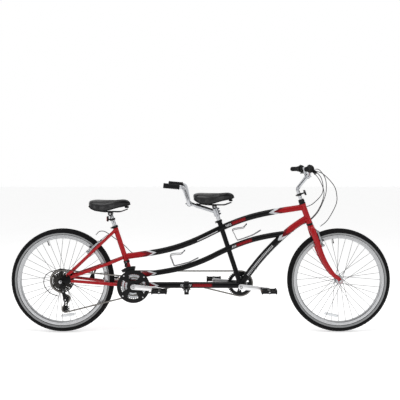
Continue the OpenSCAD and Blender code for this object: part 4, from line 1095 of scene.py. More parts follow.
def chain_joints(circles, hold, hold_phase):
    """Places of the chain's rollers, spaced evenly, with one in the gap of the held circle at hold_phase."""
    pts = loop(circles)
    ring = np.concatenate([pts, pts[:1]])
    run = lengths_along(ring)
    n = int(round(run[-1] / PITCH / 2)) * 2
    step = run[-1] / n
    c = circles[hold]
    target = (c[0] + c[2] * math.cos(hold_phase), c[1] + c[2] * math.sin(hold_phase))
    start = run[np.argmin(np.linalg.norm(ring[:-1] - target, axis=1))]
    s = (start + step * np.arange(n)) % run[-1]
    return np.stack([np.interp(s, run, ring[:, k]) for k in (0, 1)], -1)


LINK = stadium((0, 0), (PITCH, 0), 4.1, 4.1, 7)
LINK = [(x, y * (1 - 0.22 * math.exp(-(((x - PITCH / 2) / 3.2) ** 2)))) for x, y in LINK]


def link_shells(a, b, y, wide):
    """One link from roller a to roller b: two plates, and the roller and pin at a."""
    m = across((a[0], y, a[1]), math.atan2(b[1] - a[1], b[0] - a[0]))
    gap = 3.3 if wide else 2.35
    shells = []
    for s in (1, -1):
        v = np.array([(x, z, s * gap + q) for q in (-0.45, 0.45) for x, z in LINK])
        n = len(LINK)
        faces = [tuple(range(n - 1, -1, -1)), tuple(range(n, 2 * n))]
        faces += [(k, (k + 1) % n, n + (k + 1) % n, n + k) for k in range(n)]
        shells.append(((v, faces, None), chain_side))
    shells.append((peg(3.8, -1.9, 1.9, 12), chain_side))
    shells.append((ring(0, 1.9, -4.1, 4.1, 10, 0.2, 0.3), chain_pin))
    return m, shells


def chain(joints, y, names):
    """Builds chain pieces; names maps a function of a link's place to (name, body, replaced nodes)."""
    pieces = {}
    n = len(joints)
    for i in range(n):
        a, b = joints[i], joints[(i + 1) % n]
        name, body, nodes = names((a + b) / 2)
        if name not in pieces:
            pieces[name] = Piece(name, body, "chain_steel", nodes)
        m, shells = link_shells(a, b, y, i % 2 == 0)
        for shell, tone in shells:
            pieces[name].add(shell, tone, m)
    return {name: q.done(40, weld=False) for name, q in pieces.items()}


DRIVE = [(REAR_BB[0], REAR_BB[2], pitch_r(28), -1), (TENSION[0], TENSION[2], pitch_r(11), -1),
         (GUIDE[0], GUIDE[2], pitch_r(11), 1), (REAR_AXLE[0], REAR_AXLE[2], pitch_r(34), -1)]
TIMING = [(FRONT_BB[0], FRONT_BB[2], pitch_r(40), -1), (IDLER[0], IDLER[2], pitch_r(13), 1),
          (REAR_BB[0], REAR_BB[2], pitch_r(40), -1)]


def gap_phase(joints, centre, teeth):
    """The turn that puts a ring's tooth gaps under the rollers lying on it."""
    r = pitch_r(teeth)
    d = joints - np.array([centre[0], centre[2]])
    on = d[np.abs(np.hypot(d[:, 0], d[:, 1]) - r) < 0.25]
    a = np.arctan2(on[:, 1], on[:, 0]) * teeth
    return math.atan2(np.sin(a).mean(), np.cos(a).mean()) / teeth


drive_joints = chain_joints(DRIVE, 0, 0.0)
timing_joints = chain_joints(TIMING, 0, 0.0)


def drive_part(at):
    x, z = at
    if z < 236 and x < -838:
        return "drive_chain_cage", "rear_derailleur", ()
    if x < -838 and z < 262 and x > -900:
        return "drive_chain_bend", None, ()
    if z < 131 + 0.285 * (x + 859) and x < -470:
        return "drive_chain_lower", None, ()
    return "drive_chain_upper", "frame", ("drive_chain",)


made = chain(drive_joints, CHAIN_Y, drive_part)
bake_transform(made["drive_chain_bend"])
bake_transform(made["drive_chain_lower"])
chain(timing_joints, TIMING_Y, lambda at: ("timing_chain_links", "frame", ("timing_chain",)))


def crank_shells(p, bb, tone):
    """Two forged arms on a square taper spindle, with their bolts and the pedal spindles."""
    base = across(bb, CRANK_ANGLE)
    p.add(peg(7.4, -66, 66, 32), bolt_steel, base)
    for s in (1, -1):
        m = base if s > 0 else base @ spun(180) @ scaled(1, 1, -1)
        mid = ARM_IN + ARM_T / 2
        arm = stadium((0, 0), (CRANK_LEN, 0), 17, 12.5, 22)
        p.add(plate([arm], ARM_T, 3.2, m @ shifted(0, 0, mid), 3), tone)
        p.add(revolve([(0, ARM_IN), (16.6, ARM_IN), (17.4, ARM_IN + 1), (17.4, ARM_IN + 12),
                       (15, ARM_IN + 16.2), (11.4, ARM_IN + 16.8), (10.6, ARM_IN + 15.6), (0, ARM_IN + 15.6)],
                      40), tone, m)
        p.add(moved(hex_nut(7.6, 5), shifted(0, 0, ARM_IN + 16.4)), bolt_steel, m)
        p.add(revolve([(9.2, ARM_IN + 15), (9.4, ARM_IN + 16), (7.6, ARM_IN + 16.2)], 24), dark_steel, m)
        groove = stadium((34, 0), (CRANK_LEN - 26, 0), 5.2, 3.6, 12)
        p.add(plate([groove], 1.0, 0.4, m @ shifted(0, 0, ARM_IN + ARM_T + 0.1)), tone)
        end = m @ shifted(CRANK_LEN, 0, 0)
        p.add(revolve([(0, ARM_IN - 0.6), (6.4, ARM_IN - 0.6), (6.4, ARM_IN + ARM_T),
                       (8.4, ARM_IN + ARM_T + 0.2), (8.4, ARM_IN + ARM_T + 6), (6.6, ARM_IN + ARM_T + 7.5),
                       (5, ARM_IN + ARM_T + 9), (4.9, 174), (0, 174)], 24), bolt_steel, end)


for name, bb in (("front", FRONT_BB), ("rear", REAR_BB)):
    p = Piece(name + "_crank_arms", name + "_cranks", "bright_alloy", [name + "_cranks"])
    crank_shells(p, bb, crank_alloy)
    p.done(32)
    # bearing cups of the bottom bracket
    p = Piece(name + "_bracket_cups", "frame", "dark_steel")
    for s in (1, -1):
        m = across(bb) @ scaled(1, 1, s)
        p.add(revolve([(8, 27), (17.4, 27), (17.4, 34), (19.6, 34.2), (19.6, 37), (18.6, 38), (15, 38),
                       (14.6, 36.6), (8, 36.6)], 40, closed=True), dark_steel, m)
    p.done(32)


quarters, sixths = np.arange(4) * TAU / 4, np.arange(6) * TAU / 6
RING_T, RING_BEVEL = 2.2, 0.35


def timing_ring(p, bb):
    """A stamped timing ring with its windows and boss, on the left."""
    m = across(bb)
    phase = gap_phase(timing_joints, bb, 40)
    holes = [arc_window(27, 58, a + CRANK_ANGLE + math.radians(45), math.radians(30)) for a in quarters]
    p.add(plate(tooth_ring(40, 19, phase, windows=holes), RING_T, RING_BEVEL, m @ shifted(0, 0, -TIMING_Y)),
          dark_steel)
    p.add(revolve([(7.6, -ARM_IN), (17.6, -ARM_IN), (18.6, -ARM_IN + 2), (18.6, -TIMING_Y - 2),
                   (22.5, -TIMING_Y - 1), (22.5, -TIMING_Y + 1.2), (7.6, -TIMING_Y + 1.2)], 40, closed=True),
          dark_steel, m)
    for a in quarters + CRANK_ANGLE:
        p.add(stud(4.2, -1, 2, 16, 1.2, 1), bolt_steel,
              m @ shifted(44 * math.cos(a), 44 * math.sin(a), -TIMING_Y))


p = Piece("front_timing_ring_plate", "front_cranks", "dark_steel", ["front_timing_ring"])
timing_ring(p, FRONT_BB)
p.done(32)

p = Piece("chainring_set", "rear_cranks", "dark_steel", ["chainrings"])
timing_ring(p, REAR_BB)
m = across(REAR_BB, CRANK_ANGLE)
p.add(plate(tooth_ring(48, 79), RING_T, RING_BEVEL, m @ shifted(0, 0, 55)), dark_steel)
p.add(plate(tooth_ring(38, 62), RING_T, RING_BEVEL, m @ shifted(0, 0, 47.5)), satin)
p.add(plate(tooth_ring(28, 41, gap_phase(drive_joints, REAR_BB, 28) - CRANK_ANGLE), RING_T, RING_BEVEL,
            m @ shifted(0, 0, -CHAIN_Y)), satin)
for a in quarters + math.radians(45 + 5):
    arm = m @ spun(math.degrees(a))
    p.add(plate([rounded([(12, 11), (50, 7), (84, 8.5), (84, -8.5), (50, -7), (12, -11)], 4)], 5, 1.2,
                arm @ shifted(0, 0, 51.2)), dark_steel)
    p.add(plate([rounded([(12, 8), (46, 6), (46, -6), (12, -8)], 3)], 4.6, 0.8, arm @ shifted(0, 0, 43.8)),
          dark_steel)
    for x, lo, hi in ((68, 46, 57.2), (44, 38.6, 46)):
        p.add(revolve([(0, lo), (4.4, lo), (4.4, hi - 1), (3.4, hi), (0, hi)], 16), bolt_steel,
              arm @ shifted(x, 0, 0))
p.add(revolve([(7.6, 38), (17, 38), (18, 40), (18, 64), (17, ARM_IN), (7.6, ARM_IN)], 40, closed=True), satin,
      m)
p.done(32)

p = Piece("chainguard_disc", "rear_cranks", "black_plastic", ["chainguard"])
windows = [arc_window(41, 79, a + math.radians(2), math.radians(29)) for a in quarters]
p.add(plate([circle(104, 128), circle(19.5, 48)] + windows, 3.4, 1.2, m @ shifted(0, 0, 59.3), 3), plastic)
p.add(moved(revolve([(99.5, -1.7), (104, -1.5), (104.4, 0.4), (102.6, 1.8), (99.5, 2.0)], 128, closed=True),
            shifted(0, 0, 59.6)), plastic, m)
for a in quarters + math.radians(45 + 2):
    p.add(stud(4.6, 0, 2.6, 16, 1.2, 1), bolt_steel, m @ shifted(90 * math.cos(a), 90 * math.sin(a), 60.8))
p.done(32)

# each cog's teeth, and how far right of the middle plane it is
COGS = ((34, 40), (28, 44.5), (24, 49), (21, 53.5), (18, 58), (16, 62.5), (14, 67))
p = Piece("freewheel_cogs", "freewheel", "dark_steel", ["freewheel"])
m = across(REAR_AXLE)
for i, (teeth, y) in enumerate(COGS):
    phase = gap_phase(drive_joints, REAR_AXLE, 34) if i == 0 else 0.11 * i
    bore = pitch_r(teeth) * 0.62 if i == 3 else 20
    holes = []
    if i < 3:
        holes = [arc_window(24, pitch_r(teeth) - 9, a + 0.2 * i, math.radians(21)) for a in sixths]
    p.add(plate(tooth_ring(teeth, bore, phase, windows=holes), 1.8, 0.3, m @ shifted(0, 0, y)), cog_steel)
p.add(revolve([(10.1, 30), (19, 30), (20.4, 31), (20.4, 59), (17, 61), (17, 68), (16, 68.8), (10.1, 68.8)],
              48, closed=True), cog_steel, m)
p.done(32)
p = Piece("spoke_protector", "rear_wheel", "black_plastic")
windows = [arc_window(34, 70, a, math.radians(24)) for a in sixths]
p.add(plate([circle(77, 96), circle(27, 48)] + windows, 1.6, 0.5, m @ shifted(0, 0, 32.6)), plastic)
p.done(32)


def pedal(name, bb, s):
    """A resin platform pedal: two toothed rails, ribs, the bearing barrel and reflectors."""
    reach = s * CRANK_LEN * np.array([math.cos(CRANK_ANGLE), 0, math.sin(CRANK_ANGLE)])
    centre = bb + reach - (0, s * PEDAL_Y, 0)
    p = Piece(name + "_pedal_body", name + "_pedal", "black_plastic", [name + "_pedal"], shifted(*centre))
    p.add(revolve([(5.2, -44), (10, -44), (11, -43), (11.4, -30), (10, -22), (9.6, 22), (11.4, 30), (11, 43),
                   (10, 44), (5.2, 44)], 32, closed=True), plastic, across((0, 0, 0)))
    crown = []
    for side in (1, -1):
        crown += [(-40 * side, -10 * side), (-40 * side, 10 * side)]
        for y in range(-40, 40, 10):
            crown += [(side * (y + q), side * up) for q, up in ((1.5, 10), (3, 13), (7, 13), (8.5, 10))]
    for x in (-43.5, 43.5):
        window = oblong(24, 5.5, 2)
        p.add(plate([crown, window], 8, 1.0, forward((x, 0, 0))), plastic)
        p.add(plate([oblong(23, 5, 1.5)], 4.4, 0.7, forward((x, 0, 0))), amber)
    for y in (-36.5, 36.5):
        p.add(plate([oblong(42, 9, 3), circle(5.2, 20)], 6.4, 1.2, across((0, y, 0))), plastic)
    for y in (-14, 14):
        for x in (-25, 25):
            p.add(block((30, 3.4, 13), 1.0, shifted(x, y, 0)), plastic)
    p.done(34)


for pair, bb in (("front", FRONT_BB), ("rear", REAR_BB)):
    pedal(pair + "_right", bb, 1)
    pedal(pair + "_left", bb, -1)


def pulley_wheel(name, node, centre, teeth, tone, joints):
    """A toothed pulley with lightening holes and its bush."""
    p = Piece(name, node, "dark_steel" if tone is dark_steel else "black_plastic", [node])
    m = across(centre)
    holes = [circle(1.9, 10, 12 * math.cos(a), 12 * math.sin(a)) for a in np.arange(5) * TAU / 5]
    p.add(plate(tooth_ring(teeth, 4.2, gap_phase(joints, centre, teeth), 3.4, holes), 2.6, 0.5, m), tone)
    p.add(ring(3.6, 8.6, -3.8, 3.8, 28, 1, 1.2), tone, m)
    p.done(32)


pulley_wheel("idler_wheel", "idler_pulley", IDLER, 13, dark_steel, timing_joints)
pulley_wheel("guide_wheel", "guide_pulley", GUIDE, 11, plastic, drive_joints)
pulley_wheel("tension_wheel", "tension_pulley", TENSION, 11, plastic, drive_joints)

# ---- derailleurs ----

KNUCKLE = np.array([-866.0, 0, 298])
KNEE = np.array([-866.0, 0, 270])
p = Piece("rear_derailleur_cage", "rear_derailleur", "dark_steel", ["rear_derailleur"])
for z in (41.5, 34.2):
    cage = stadium((GUIDE[0], GUIDE[2]), (TENSION[0], TENSION[2]), 12.5, 11.5, 18)
    middle = (GUIDE + TENSION) / 2
    window = stadium((middle[0] + 0.8, middle[2] + 13), (middle[0] - 0.8, middle[2] - 13), 6.2, 5.4, 10)
    p.add(plate([cage, window], 1.8, 0.4, across((0, -z - 4.6, 0))), dark_steel)
for c in (GUIDE, TENSION):
    p.add(revolve([(0, -7), (4.6, -7), (4.6, -5.6), (2.9, -5.4), (2.9, 5.6), (4.2, 5.8), (4.2, 7), (0, 7)],
                  20), bolt_steel, across(c))
p.add(revolve([(0, 6), (12, 6), (12.6, 7), (12.6, 24), (11.6, 25.4), (0, 25.4)], 36), plastic, across(GUIDE))
p.add(revolve([(12.6, 8), (14.2, 9), (14.2, 12), (12.6, 13)], 36, closed=True), dark_steel, across(GUIDE))
lower = stadium((GUIDE[0], GUIDE[2]), (KNEE[0], KNEE[2]), 12.4, 10.6, 18)
p.add(plate([lower], 7, 2.2, across((0, -73.5, 0)), 3), plastic)
p.add(stud(5, 74, 79.4, 20, 1), bolt_steel, across(KNEE * (1, 0, 1)))
p.add(stud(4.4, 74, 79.2, 20, 1, 0.8), bolt_steel, across(GUIDE * (1, 0, 1)))
p.done(34)

p = Piece("rear_derailleur_knuckle", "frame", "dark_steel")
hanger = rounded([(-15, 4), (-12, 12), (0, 15), (12, 10), (15, -2), (24, -22), (30, -32), (24, -44),
                  (10, -42), (2, -30), (-8, -12)], 7, 6)
p.add(plate([hanger, circle(5.3, 24), circle(4.2, 20, 17, -32)], 4, 0.6,
            across(REAR_AXLE * (1, 0, 1)) @ shifted(0, 0, 77)), dark_steel)
p.add(revolve([(0, 79), (11, 79), (11.8, 80.4), (11.8, 91), (10.4, 92.4), (5.4, 92.4), (5.4, 91.2),
               (0, 91.2)], 36), plastic, across(KNUCKLE))
p.add(block((17, 9, 13), 2.4, across(KNUCKLE) @ shifted(-15, -4, 85.5)), plastic)
p.add(revolve([(0, 0), (3.8, 0), (3.8, 3.4), (3.2, 4), (3.2, 11), (0, 11)], 18), plastic,
      along((-886, -88, 297), (-897, -89, 291)))
p.done(34)

p = Piece("rear_derailleur_links", None, "dark_steel")
for x in (-6.2, 6.2):
    arm = stadium((KNUCKLE[0] + x, KNUCKLE[2] - 4), (KNEE[0] + x, KNEE[2] + 3), 5, 5, 12)
    p.add(plate([arm], 3.4, 0.8, across((0, -80.6, 0))), plastic)
spring = [(KNUCKLE[0] + 2.6 * math.cos(k * 0.7), -81 + 2.6 * math.sin(k * 0.7),
           293 - k * 0.45) for k in range(46)]
p.add(tube(spring, 0.7, 8), bolt_steel)
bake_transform(p.done(34))

p = Piece("front_derailleur_cage", "front_derailleur", "dark_steel", ["front_derailleur"])
turned_out = across(REAR_BB)
for r0, r1, lo, hi, out in ((108, 128, 84, 128, 49.8), (98, 126, 86, 124, 34.4)):
    outline = sector(r0, r1, math.radians(lo), math.radians(hi), 18, 4)
    p.add(plate([outline], 1.5, 0.4, turned_out @ shifted(0, 0, out)), dark_steel)
for a in (127, 87):
    c, s = math.cos(math.radians(a)), math.sin(math.radians(a))
    p.add(block((3, 4, 16), 0.8, turned_out @ shifted(121 * c, 121 * s, 42)), dark_steel)
p.add(block((15, 24, 12), 2.2, turned_out @ shifted(-50, 132, 40)), plastic)
p.done(34)
p = Piece("front_derailleur_links", None, "dark_steel")
a0 = REAR_BB + 158 * SEAT_DIR + (-2, -24, 2)
a1 = np.array([-476.0, -39, 432])
for dz in (-5, 6):
    p.add(rod(a0 + (0, 0, dz), a1 + (0, 0, dz), 3.0, 14), dark_steel)
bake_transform(p.done(34))

# ---- what is bolted to the frame ----


def screw(r=4.2, head=4.0, socket=2.2):
    """A cap screw's head with its socket, standing on z zero."""
    return revolve([(0, head - 1.8), (socket, head - 1.8), (socket, head), (r - 0.6, head), (r, head - 0.6),
                    (r, 0), (0, 0)], 24)


p = Piece("seat_collars_and_plates", "frame", "dark_steel", ["frame_fittings"])
for bb, length, r in ((FRONT_BB, CAPTAIN_TUBE, 15.5), (REAR_BB, STOKER_TUBE, 16)):
    p.place = on_seat(bb) @ shifted(0, 0, length - 13)
    arc = np.radians(np.linspace(186, 534, 60))
    band = [((r + 3.4) * math.cos(a), (r + 3.4) * math.sin(a)) for a in arc]
    band += [((r + 0.1) * math.cos(a), (r + 0.1) * math.sin(a)) for a in arc[::-1]]
    p.add(plate([band], 14, 0.7, shifted(0, 0, 7)), black)
    for y in (4.6, -4.6):
        p.add(block((11, 6, 12), 1.8, shifted(-r - 7.6, y, 7)), black)
    p.add(rod((-r - 9, -11, 7), (-r - 9, 11, 7), 2.6, 16), bolt_steel)
    p.add(screw(), bolt_steel, across((-r - 9, -7.6, 7)))
    p.add(stud(4.4, 0, 3.6, 6, 0.6), bolt_steel, leftward((-r - 9, 7.6, 7)))
p.place = on_seat(REAR_BB) @ shifted(0, 0, 150)
p.add(ring(16, 19.4, 0, 16, 48, 0.6, 0.8), dark_steel)
p.add(block((12, 16, 12), 2, shifted(0, -22, 8)), dark_steel)
p.add(screw(3.8), bolt_steel, across((0, -30, 8)))
p.place = shifted(-702, 58, 360) @ spun(12, "Y")
body = rounded([(-15, 33), (15, 33), (17, 24), (10, 6), (11, -8), (17, -26), (14, -34), (-14, -34),
                (-17, -26), (-11, -8), (-10, 6), (-17, 24)], 6, 6)
p.add(plate([body, stadium((0, 6), (0, 16), 3.2, 3.2, 10)], 5, 0.7, across((0, 2.5, 0))), dark_steel)
p.add(stud(6, 0, 4.6, 6, 0.8, 1), bolt_steel, leftward((0, 4.8, -12)))
p.done(34)

p = Piece("idler_clamp", "frame", "dark_steel", ["idler_bracket"])
middle = np.array([IDLER[0], 0, FRONT_BB[2] - 1])
p.place = along(middle - (16, 0, 0), middle + (16, 0, 0))
p.add(ring(19.6, 24.4, 0, 32, 56, 0.6, 0.8), dark_steel)
p.place = np.eye(4)
strap = rounded([(-14, 294), (14, 294), (15, 229), (-15, 229)], 3, 5)
strap = [(x + IDLER[0], z) for x, z in strap]
gap = stadium((IDLER[0], 249), (IDLER[0], 262), 4.2, 4.2, 12)
p.add(plate([strap, gap], 6, 0.7, across((0, 27, 0))), dark_steel)
p.add(peg(9.5, 0, 1.4, 32), bolt_steel, leftward((IDLER[0], 30, IDLER[2])))
p.add(rod((IDLER[0], 22, IDLER[2]), (IDLER[0], 58, IDLER[2]), 4, 20), bolt_steel)
p.add(stud(7.4, 0, 5, 6, 1), bolt_steel, across((IDLER[0], 24, IDLER[2])))
for s in (1, -1):
    for x in (-9, 9):
        p.add(block((13, 9, 7), 1.6, shifted(IDLER[0] + x * 0.5, s * 22, 276)), dark_steel)
    p.add(rod((IDLER[0] + s * 9, -22, 271), (IDLER[0] + s * 9, -22, 286), 2.6, 14), dark_steel)
slider = stadium((IDLER[0], 251), (IDLER[0], 260), 3.6, 3.6, 12)
p.add(plate([slider], 2, 0.4, across((0, 24.5, 0))), alloy)
p.add(revolve([(0, 0), (6, 0), (6, 1.2), (3.2, 1.8), (3.2, 9), (0, 9)], 24), dark_steel,
      shifted(IDLER[0], 0, 311))
p.done(34)

wire_steel = finish_of("cage_wire", (0.22, 0.22, 0.23), 0.34, 0.8, 0.08, 600, 0.1, 0.0001)
p = Piece("bottle_cages_wire", "frame", "cage_wire", ["bottle_cages"])
wire = [(98, 0, 17), (96, 16, 16), (60, 14, 8), (30, 11, 4), (-52, 11, 4), (-64, 18, 12), (-68, 26, 46),
        (-70, 33, 76), (-40, 37, 76), (-4, 34, 69), (14, 18, 76), (26, 0, 84)]
for place in (shifted(-108, 0, 431) @ spun(-14, "Y"), shifted(296, 0, 600) @ spun(-19, "Y")):
    p.place = place
    side = spline(wire, 8)
    p.add(tube(side, 2.6, 14), wire_steel)
    p.add(tube(flip(side), 2.6, 14), wire_steel)
    p.add(plate([rounded([(-44, -9), (44, -9), (46, 0), (44, 9), (-44, 9), (-46, 0)], 4),
                 stadium((-30, 0), (-22, 0), 2.8, 2.8, 8), stadium((24, 0), (34, 0), 2.8, 2.8, 8)], 2.6, 0.5,
                shifted(0, 0, 2.6)), alloy)
    for x in (-26, 29):
        p.add(screw(4.4, 3.4), bolt_steel, shifted(x, 0, 3.4))
    p.add(tube([(22, -8, 81), (25.6, -3, 83.6), (26, 0, 84), (25.6, 3, 83.6), (22, 8, 81)], 4, 16), plastic)
p.done(40)

# ---- saddles and what carries them ----

CAPTAIN_TOP = FRONT_BB + (CAPTAIN_TUBE + 92) * SEAT_DIR
STOKER_TOP = REAR_BB + (STOKER_TUBE + 84) * SEAT_DIR
for name, bb, length, out, top in (
    ("captain", FRONT_BB, CAPTAIN_TUBE, 90, CAPTAIN_TOP), ("stoker", REAR_BB, STOKER_TUBE, 82, STOKER_TOP),
):
    p = Piece(name + "_seatpost_tube", name + "_post", "bright_alloy", [name + "_seatpost"], on_seat(bb))
    z0, z1 = length - 120, length + out
    p.add(revolve([(11.4, z0), (13.4, z0), (13.6, z0 + 0.6), (13.6, z1 - 24), (13.0, z1 - 18), (11.2, z1 - 8),
                   (10.8, z1), (0, z1)], 48), alloy)
    p.place = shifted(*top)
    p.add(revolve([(0, -25), (13.6, -25), (14.6, -24), (14.6, -14), (15, -13), (15, 13), (14.6, 14),
                   (14.6, 24), (13.6, 25), (0, 25)], 40), dark_steel, across((0, 0, 0)))
    for s in (1, -1):
        p.add(stud(7.6, 0, 6.2, 6, 1.2), bolt_steel, (leftward if s > 0 else across)((0, 25 * s, 0)))
        p.add(block((34, 11, 9), 2.2, shifted(0, s * 20, 11)), dark_steel)
        rail = spline([(-98, 20 * s, 21), (-70, 20 * s, 16), (-40, 20 * s, 12.4), (10, 20 * s, 12),
                       (60, 20 * s, 12), (84, 17 * s, 19), (108, 13 * s, 28)], 6)
        p.add(tube(rail, 3.5, 16), dark_steel)
    p.done(36)

p = Piece("rear_reflector_body", "stoker_post", "black_plastic")
spot = REAR_BB + (STOKER_TUBE + 44) * SEAT_DIR
p.add(ring(13.6, 18, 38, 50, 40, 0.8), plastic, on_seat(REAR_BB) @ shifted(0, 0, STOKER_TUBE))
p.add(block((14, 8, 10), 1.6, shifted(*(spot + (-22, 0, 0)))), plastic)
p.add(plate([rounded([(-21, -13), (21, -13), (21, 21), (-21, 21)], 6, 7)], 7, 1.2,
            forward(spot + (-30, 0, 0))), plastic)
p.done()
p = Piece("rear_reflector_lens", "stoker_post", "black_plastic")
p.add(plate([rounded([(-19, -11), (19, -11), (19, 19), (-19, 19)], 5, 7)], 3, 0.9,
            forward(spot + (-35, 0, 0))), red_lens)
p.done()

p = Piece("stoker_stem_arm", "captain_post", "bright_alloy", ["stoker_stem"],
          on_seat(FRONT_BB) @ shifted(0, 0, CAPTAIN_TUBE))
p.add(ring(13.7, 20, 30, 82, 56, 1.4, 1.6), satin)
for z in (39, 56, 73):
    p.add(block((15, 17, 9), 2.4, shifted(20, 0, z)), satin)
    p.add(screw(3.9, 3.6), dark_steel, across((21, -8.4, z)))
p.place = np.eye(4)
root = FRONT_BB + (CAPTAIN_TUBE + 56) * SEAT_DIR
p.add(tube([root, (-6, 0, 799), (-26, 0, 804.6), (-30, 0, 806)], [14, 14, 14, 12.6], 36, squash=(0.9, 1)),
      satin)
p.add(tube([(-29, 0, 805.8), (-45, 0, 811), (-60, 0, 816.4)], [11, 11, 12], 32), alloy)
p.add(ring(12.8, 18, -22, 22, 48, 0.8, 1), satin, across((-72, 0, 818)))
strip = [(0, 0, 812.8), (-16, 0, 816.6), (-28, 0, 820)]
p.add(tube(strip, 3.4, 16, squash=(0.7, 1.6)), plastic)
for y in (-13, 13):
    p.add(block((9, 9, 12), 2, shifted(-90, y, 818)), satin)
    p.add(screw(3.6, 3.4), dark_steel, placed((-94, y, 818), (0, 1, 0), (0, 0, 1), (-1, 0, 0)))
p.done(36)

vinyl = finish_of("saddle_vinyl", (0.006, 0.006, 0.0065), 0.32, 0.0, 0.25, 420, 0.35, 0.0005,
                  Specular_IOR_Level=0.24)
vinyl_side = finish_of("saddle_side", (0.020, 0.020, 0.021), 0.30, 0.0, 0.2, 420, 0.35, 0.0005,
                       Specular_IOR_Level=0.35)
seam_thread = finish_of("seam_thread", (0.10, 0.10, 0.10), 0.8, 0.0, 0.2, 2500, 0.4, 0.0002)
SADDLE_X = np.array([-136, -128, -110, -88, -60, -30, 0, 30, 60, 90, 112, 124, 129.0])
SADDLE_W = np.array([30, 62, 84, 92, 92, 76, 52, 36, 27, 22, 18, 12, 6.0])
SADDLE_TOP = np.array([80, 86, 90, 91, 89, 87, 88, 89, 92, 94, 88, 78, 70.0])
SADDLE_LOW = np.array([56, 42, 30, 22, 18, 17, 22, 31, 38, 43, 48, 54, 59.0])


def saddle_section(x):
    """The half width, top and bottom edge of the saddle at a place along it."""
    return [float(np.interp(x, SADDLE_X, k)) for k in (SADDLE_W, SADDLE_TOP, SADDLE_LOW)]


def saddle_shell(shrink):
    """The closed skin of the pad, drawn in by a margin that the cloth run fills."""
    xs = np.concatenate([np.linspace(-136, -110, 7), np.linspace(-100, 100, 26), np.linspace(108, 129, 7)])
    rings = []
    for x in xs:
        w, top, low = saddle_section(x)
        w, top = w - shrink, top - shrink
        ring = []
        for k in np.linspace(0, math.pi, 23):
            c, s = math.cos(k), math.sin(k)
            ring.append((x, w * math.copysign(abs(c) ** 0.62, c), low + (top - low) * abs(s) ** 0.66))
        for k in np.linspace(math.pi, TAU, 13)[1:-1]:
            c = math.cos(k)
            ring.append((x, (w - 7) * c, low + 9 * abs(math.sin(k)) ** 0.5))
        rings.append(ring)
    rings = np.array(rings)
    return ring_path(rings[:, 0], rings)


def padded(obj, limit):
    """The pad swells a little under its cover: a cloth run with a pressure, its movement capped."""
    remesh = obj.modifiers.new("even", "REMESH")
    remesh.mode, remesh.voxel_size = "VOXEL", 0.005
    bpy.context.view_layer.objects.active = obj
    for other in bpy.context.selected_objects:
        other.select_set(False)
    obj.select_set(True)
    bpy.ops.object.modifier_apply(modifier=remesh.name)
    before = np.empty(len(obj.data.vertices) * 3)
    obj.data.vertices.foreach_get("co", before)
    before = before.reshape(-1, 3)
    low = np.interp(before[:, 0] / MM, SADDLE_X, SADDLE_LOW) * MM
    held = obj.vertex_groups.new(name="held")
    held.add([int(i) for i in np.nonzero(before[:, 2] < low + 0.014)[0]], 1.0, "REPLACE")
    cloth = obj.modifiers.new("pad", "CLOTH")
    c = cloth.settings
    c.quality, c.mass = 6, 0.3
    c.tension_stiffness = c.compression_stiffness = 30
    c.use_pressure, c.uniform_pressure_force = True, 4
    c.vertex_group_mass = "held"
    c.effector_weights.gravity = 0
    cloth.point_cache.frame_start, cloth.point_cache.frame_end = 1, 20
    scene = bpy.context.scene
    for f in range(1, 21):
        scene.frame_set(f)
    shape = obj.evaluated_get(bpy.context.evaluated_depsgraph_get()).data
    after = np.empty(len(shape.vertices) * 3)
    shape.vertices.foreach_get("co", after)
    move = after.reshape(-1, 3) - before
    size = np.linalg.norm(move, axis=1)
    move *= np.minimum(1, limit * MM / np.maximum(size, 1e-9))[:, None]
    obj.modifiers.remove(cloth)
    scene.frame_set(1)
    obj.vertex_groups.clear()
    obj.data.vertices.foreach_set("co", (before + move).ravel())
    smooth = obj.modifiers.new("even", "SMOOTH")
    smooth.factor, smooth.iterations = 0.5, 6
    fine = obj.modifiers.new("fine", "SUBSURF")
    fine.levels = fine.render_levels = 1
    for modifier in (smooth.name, fine.name):
        bpy.ops.object.modifier_apply(modifier=modifier)
    obj.data.shade_smooth()


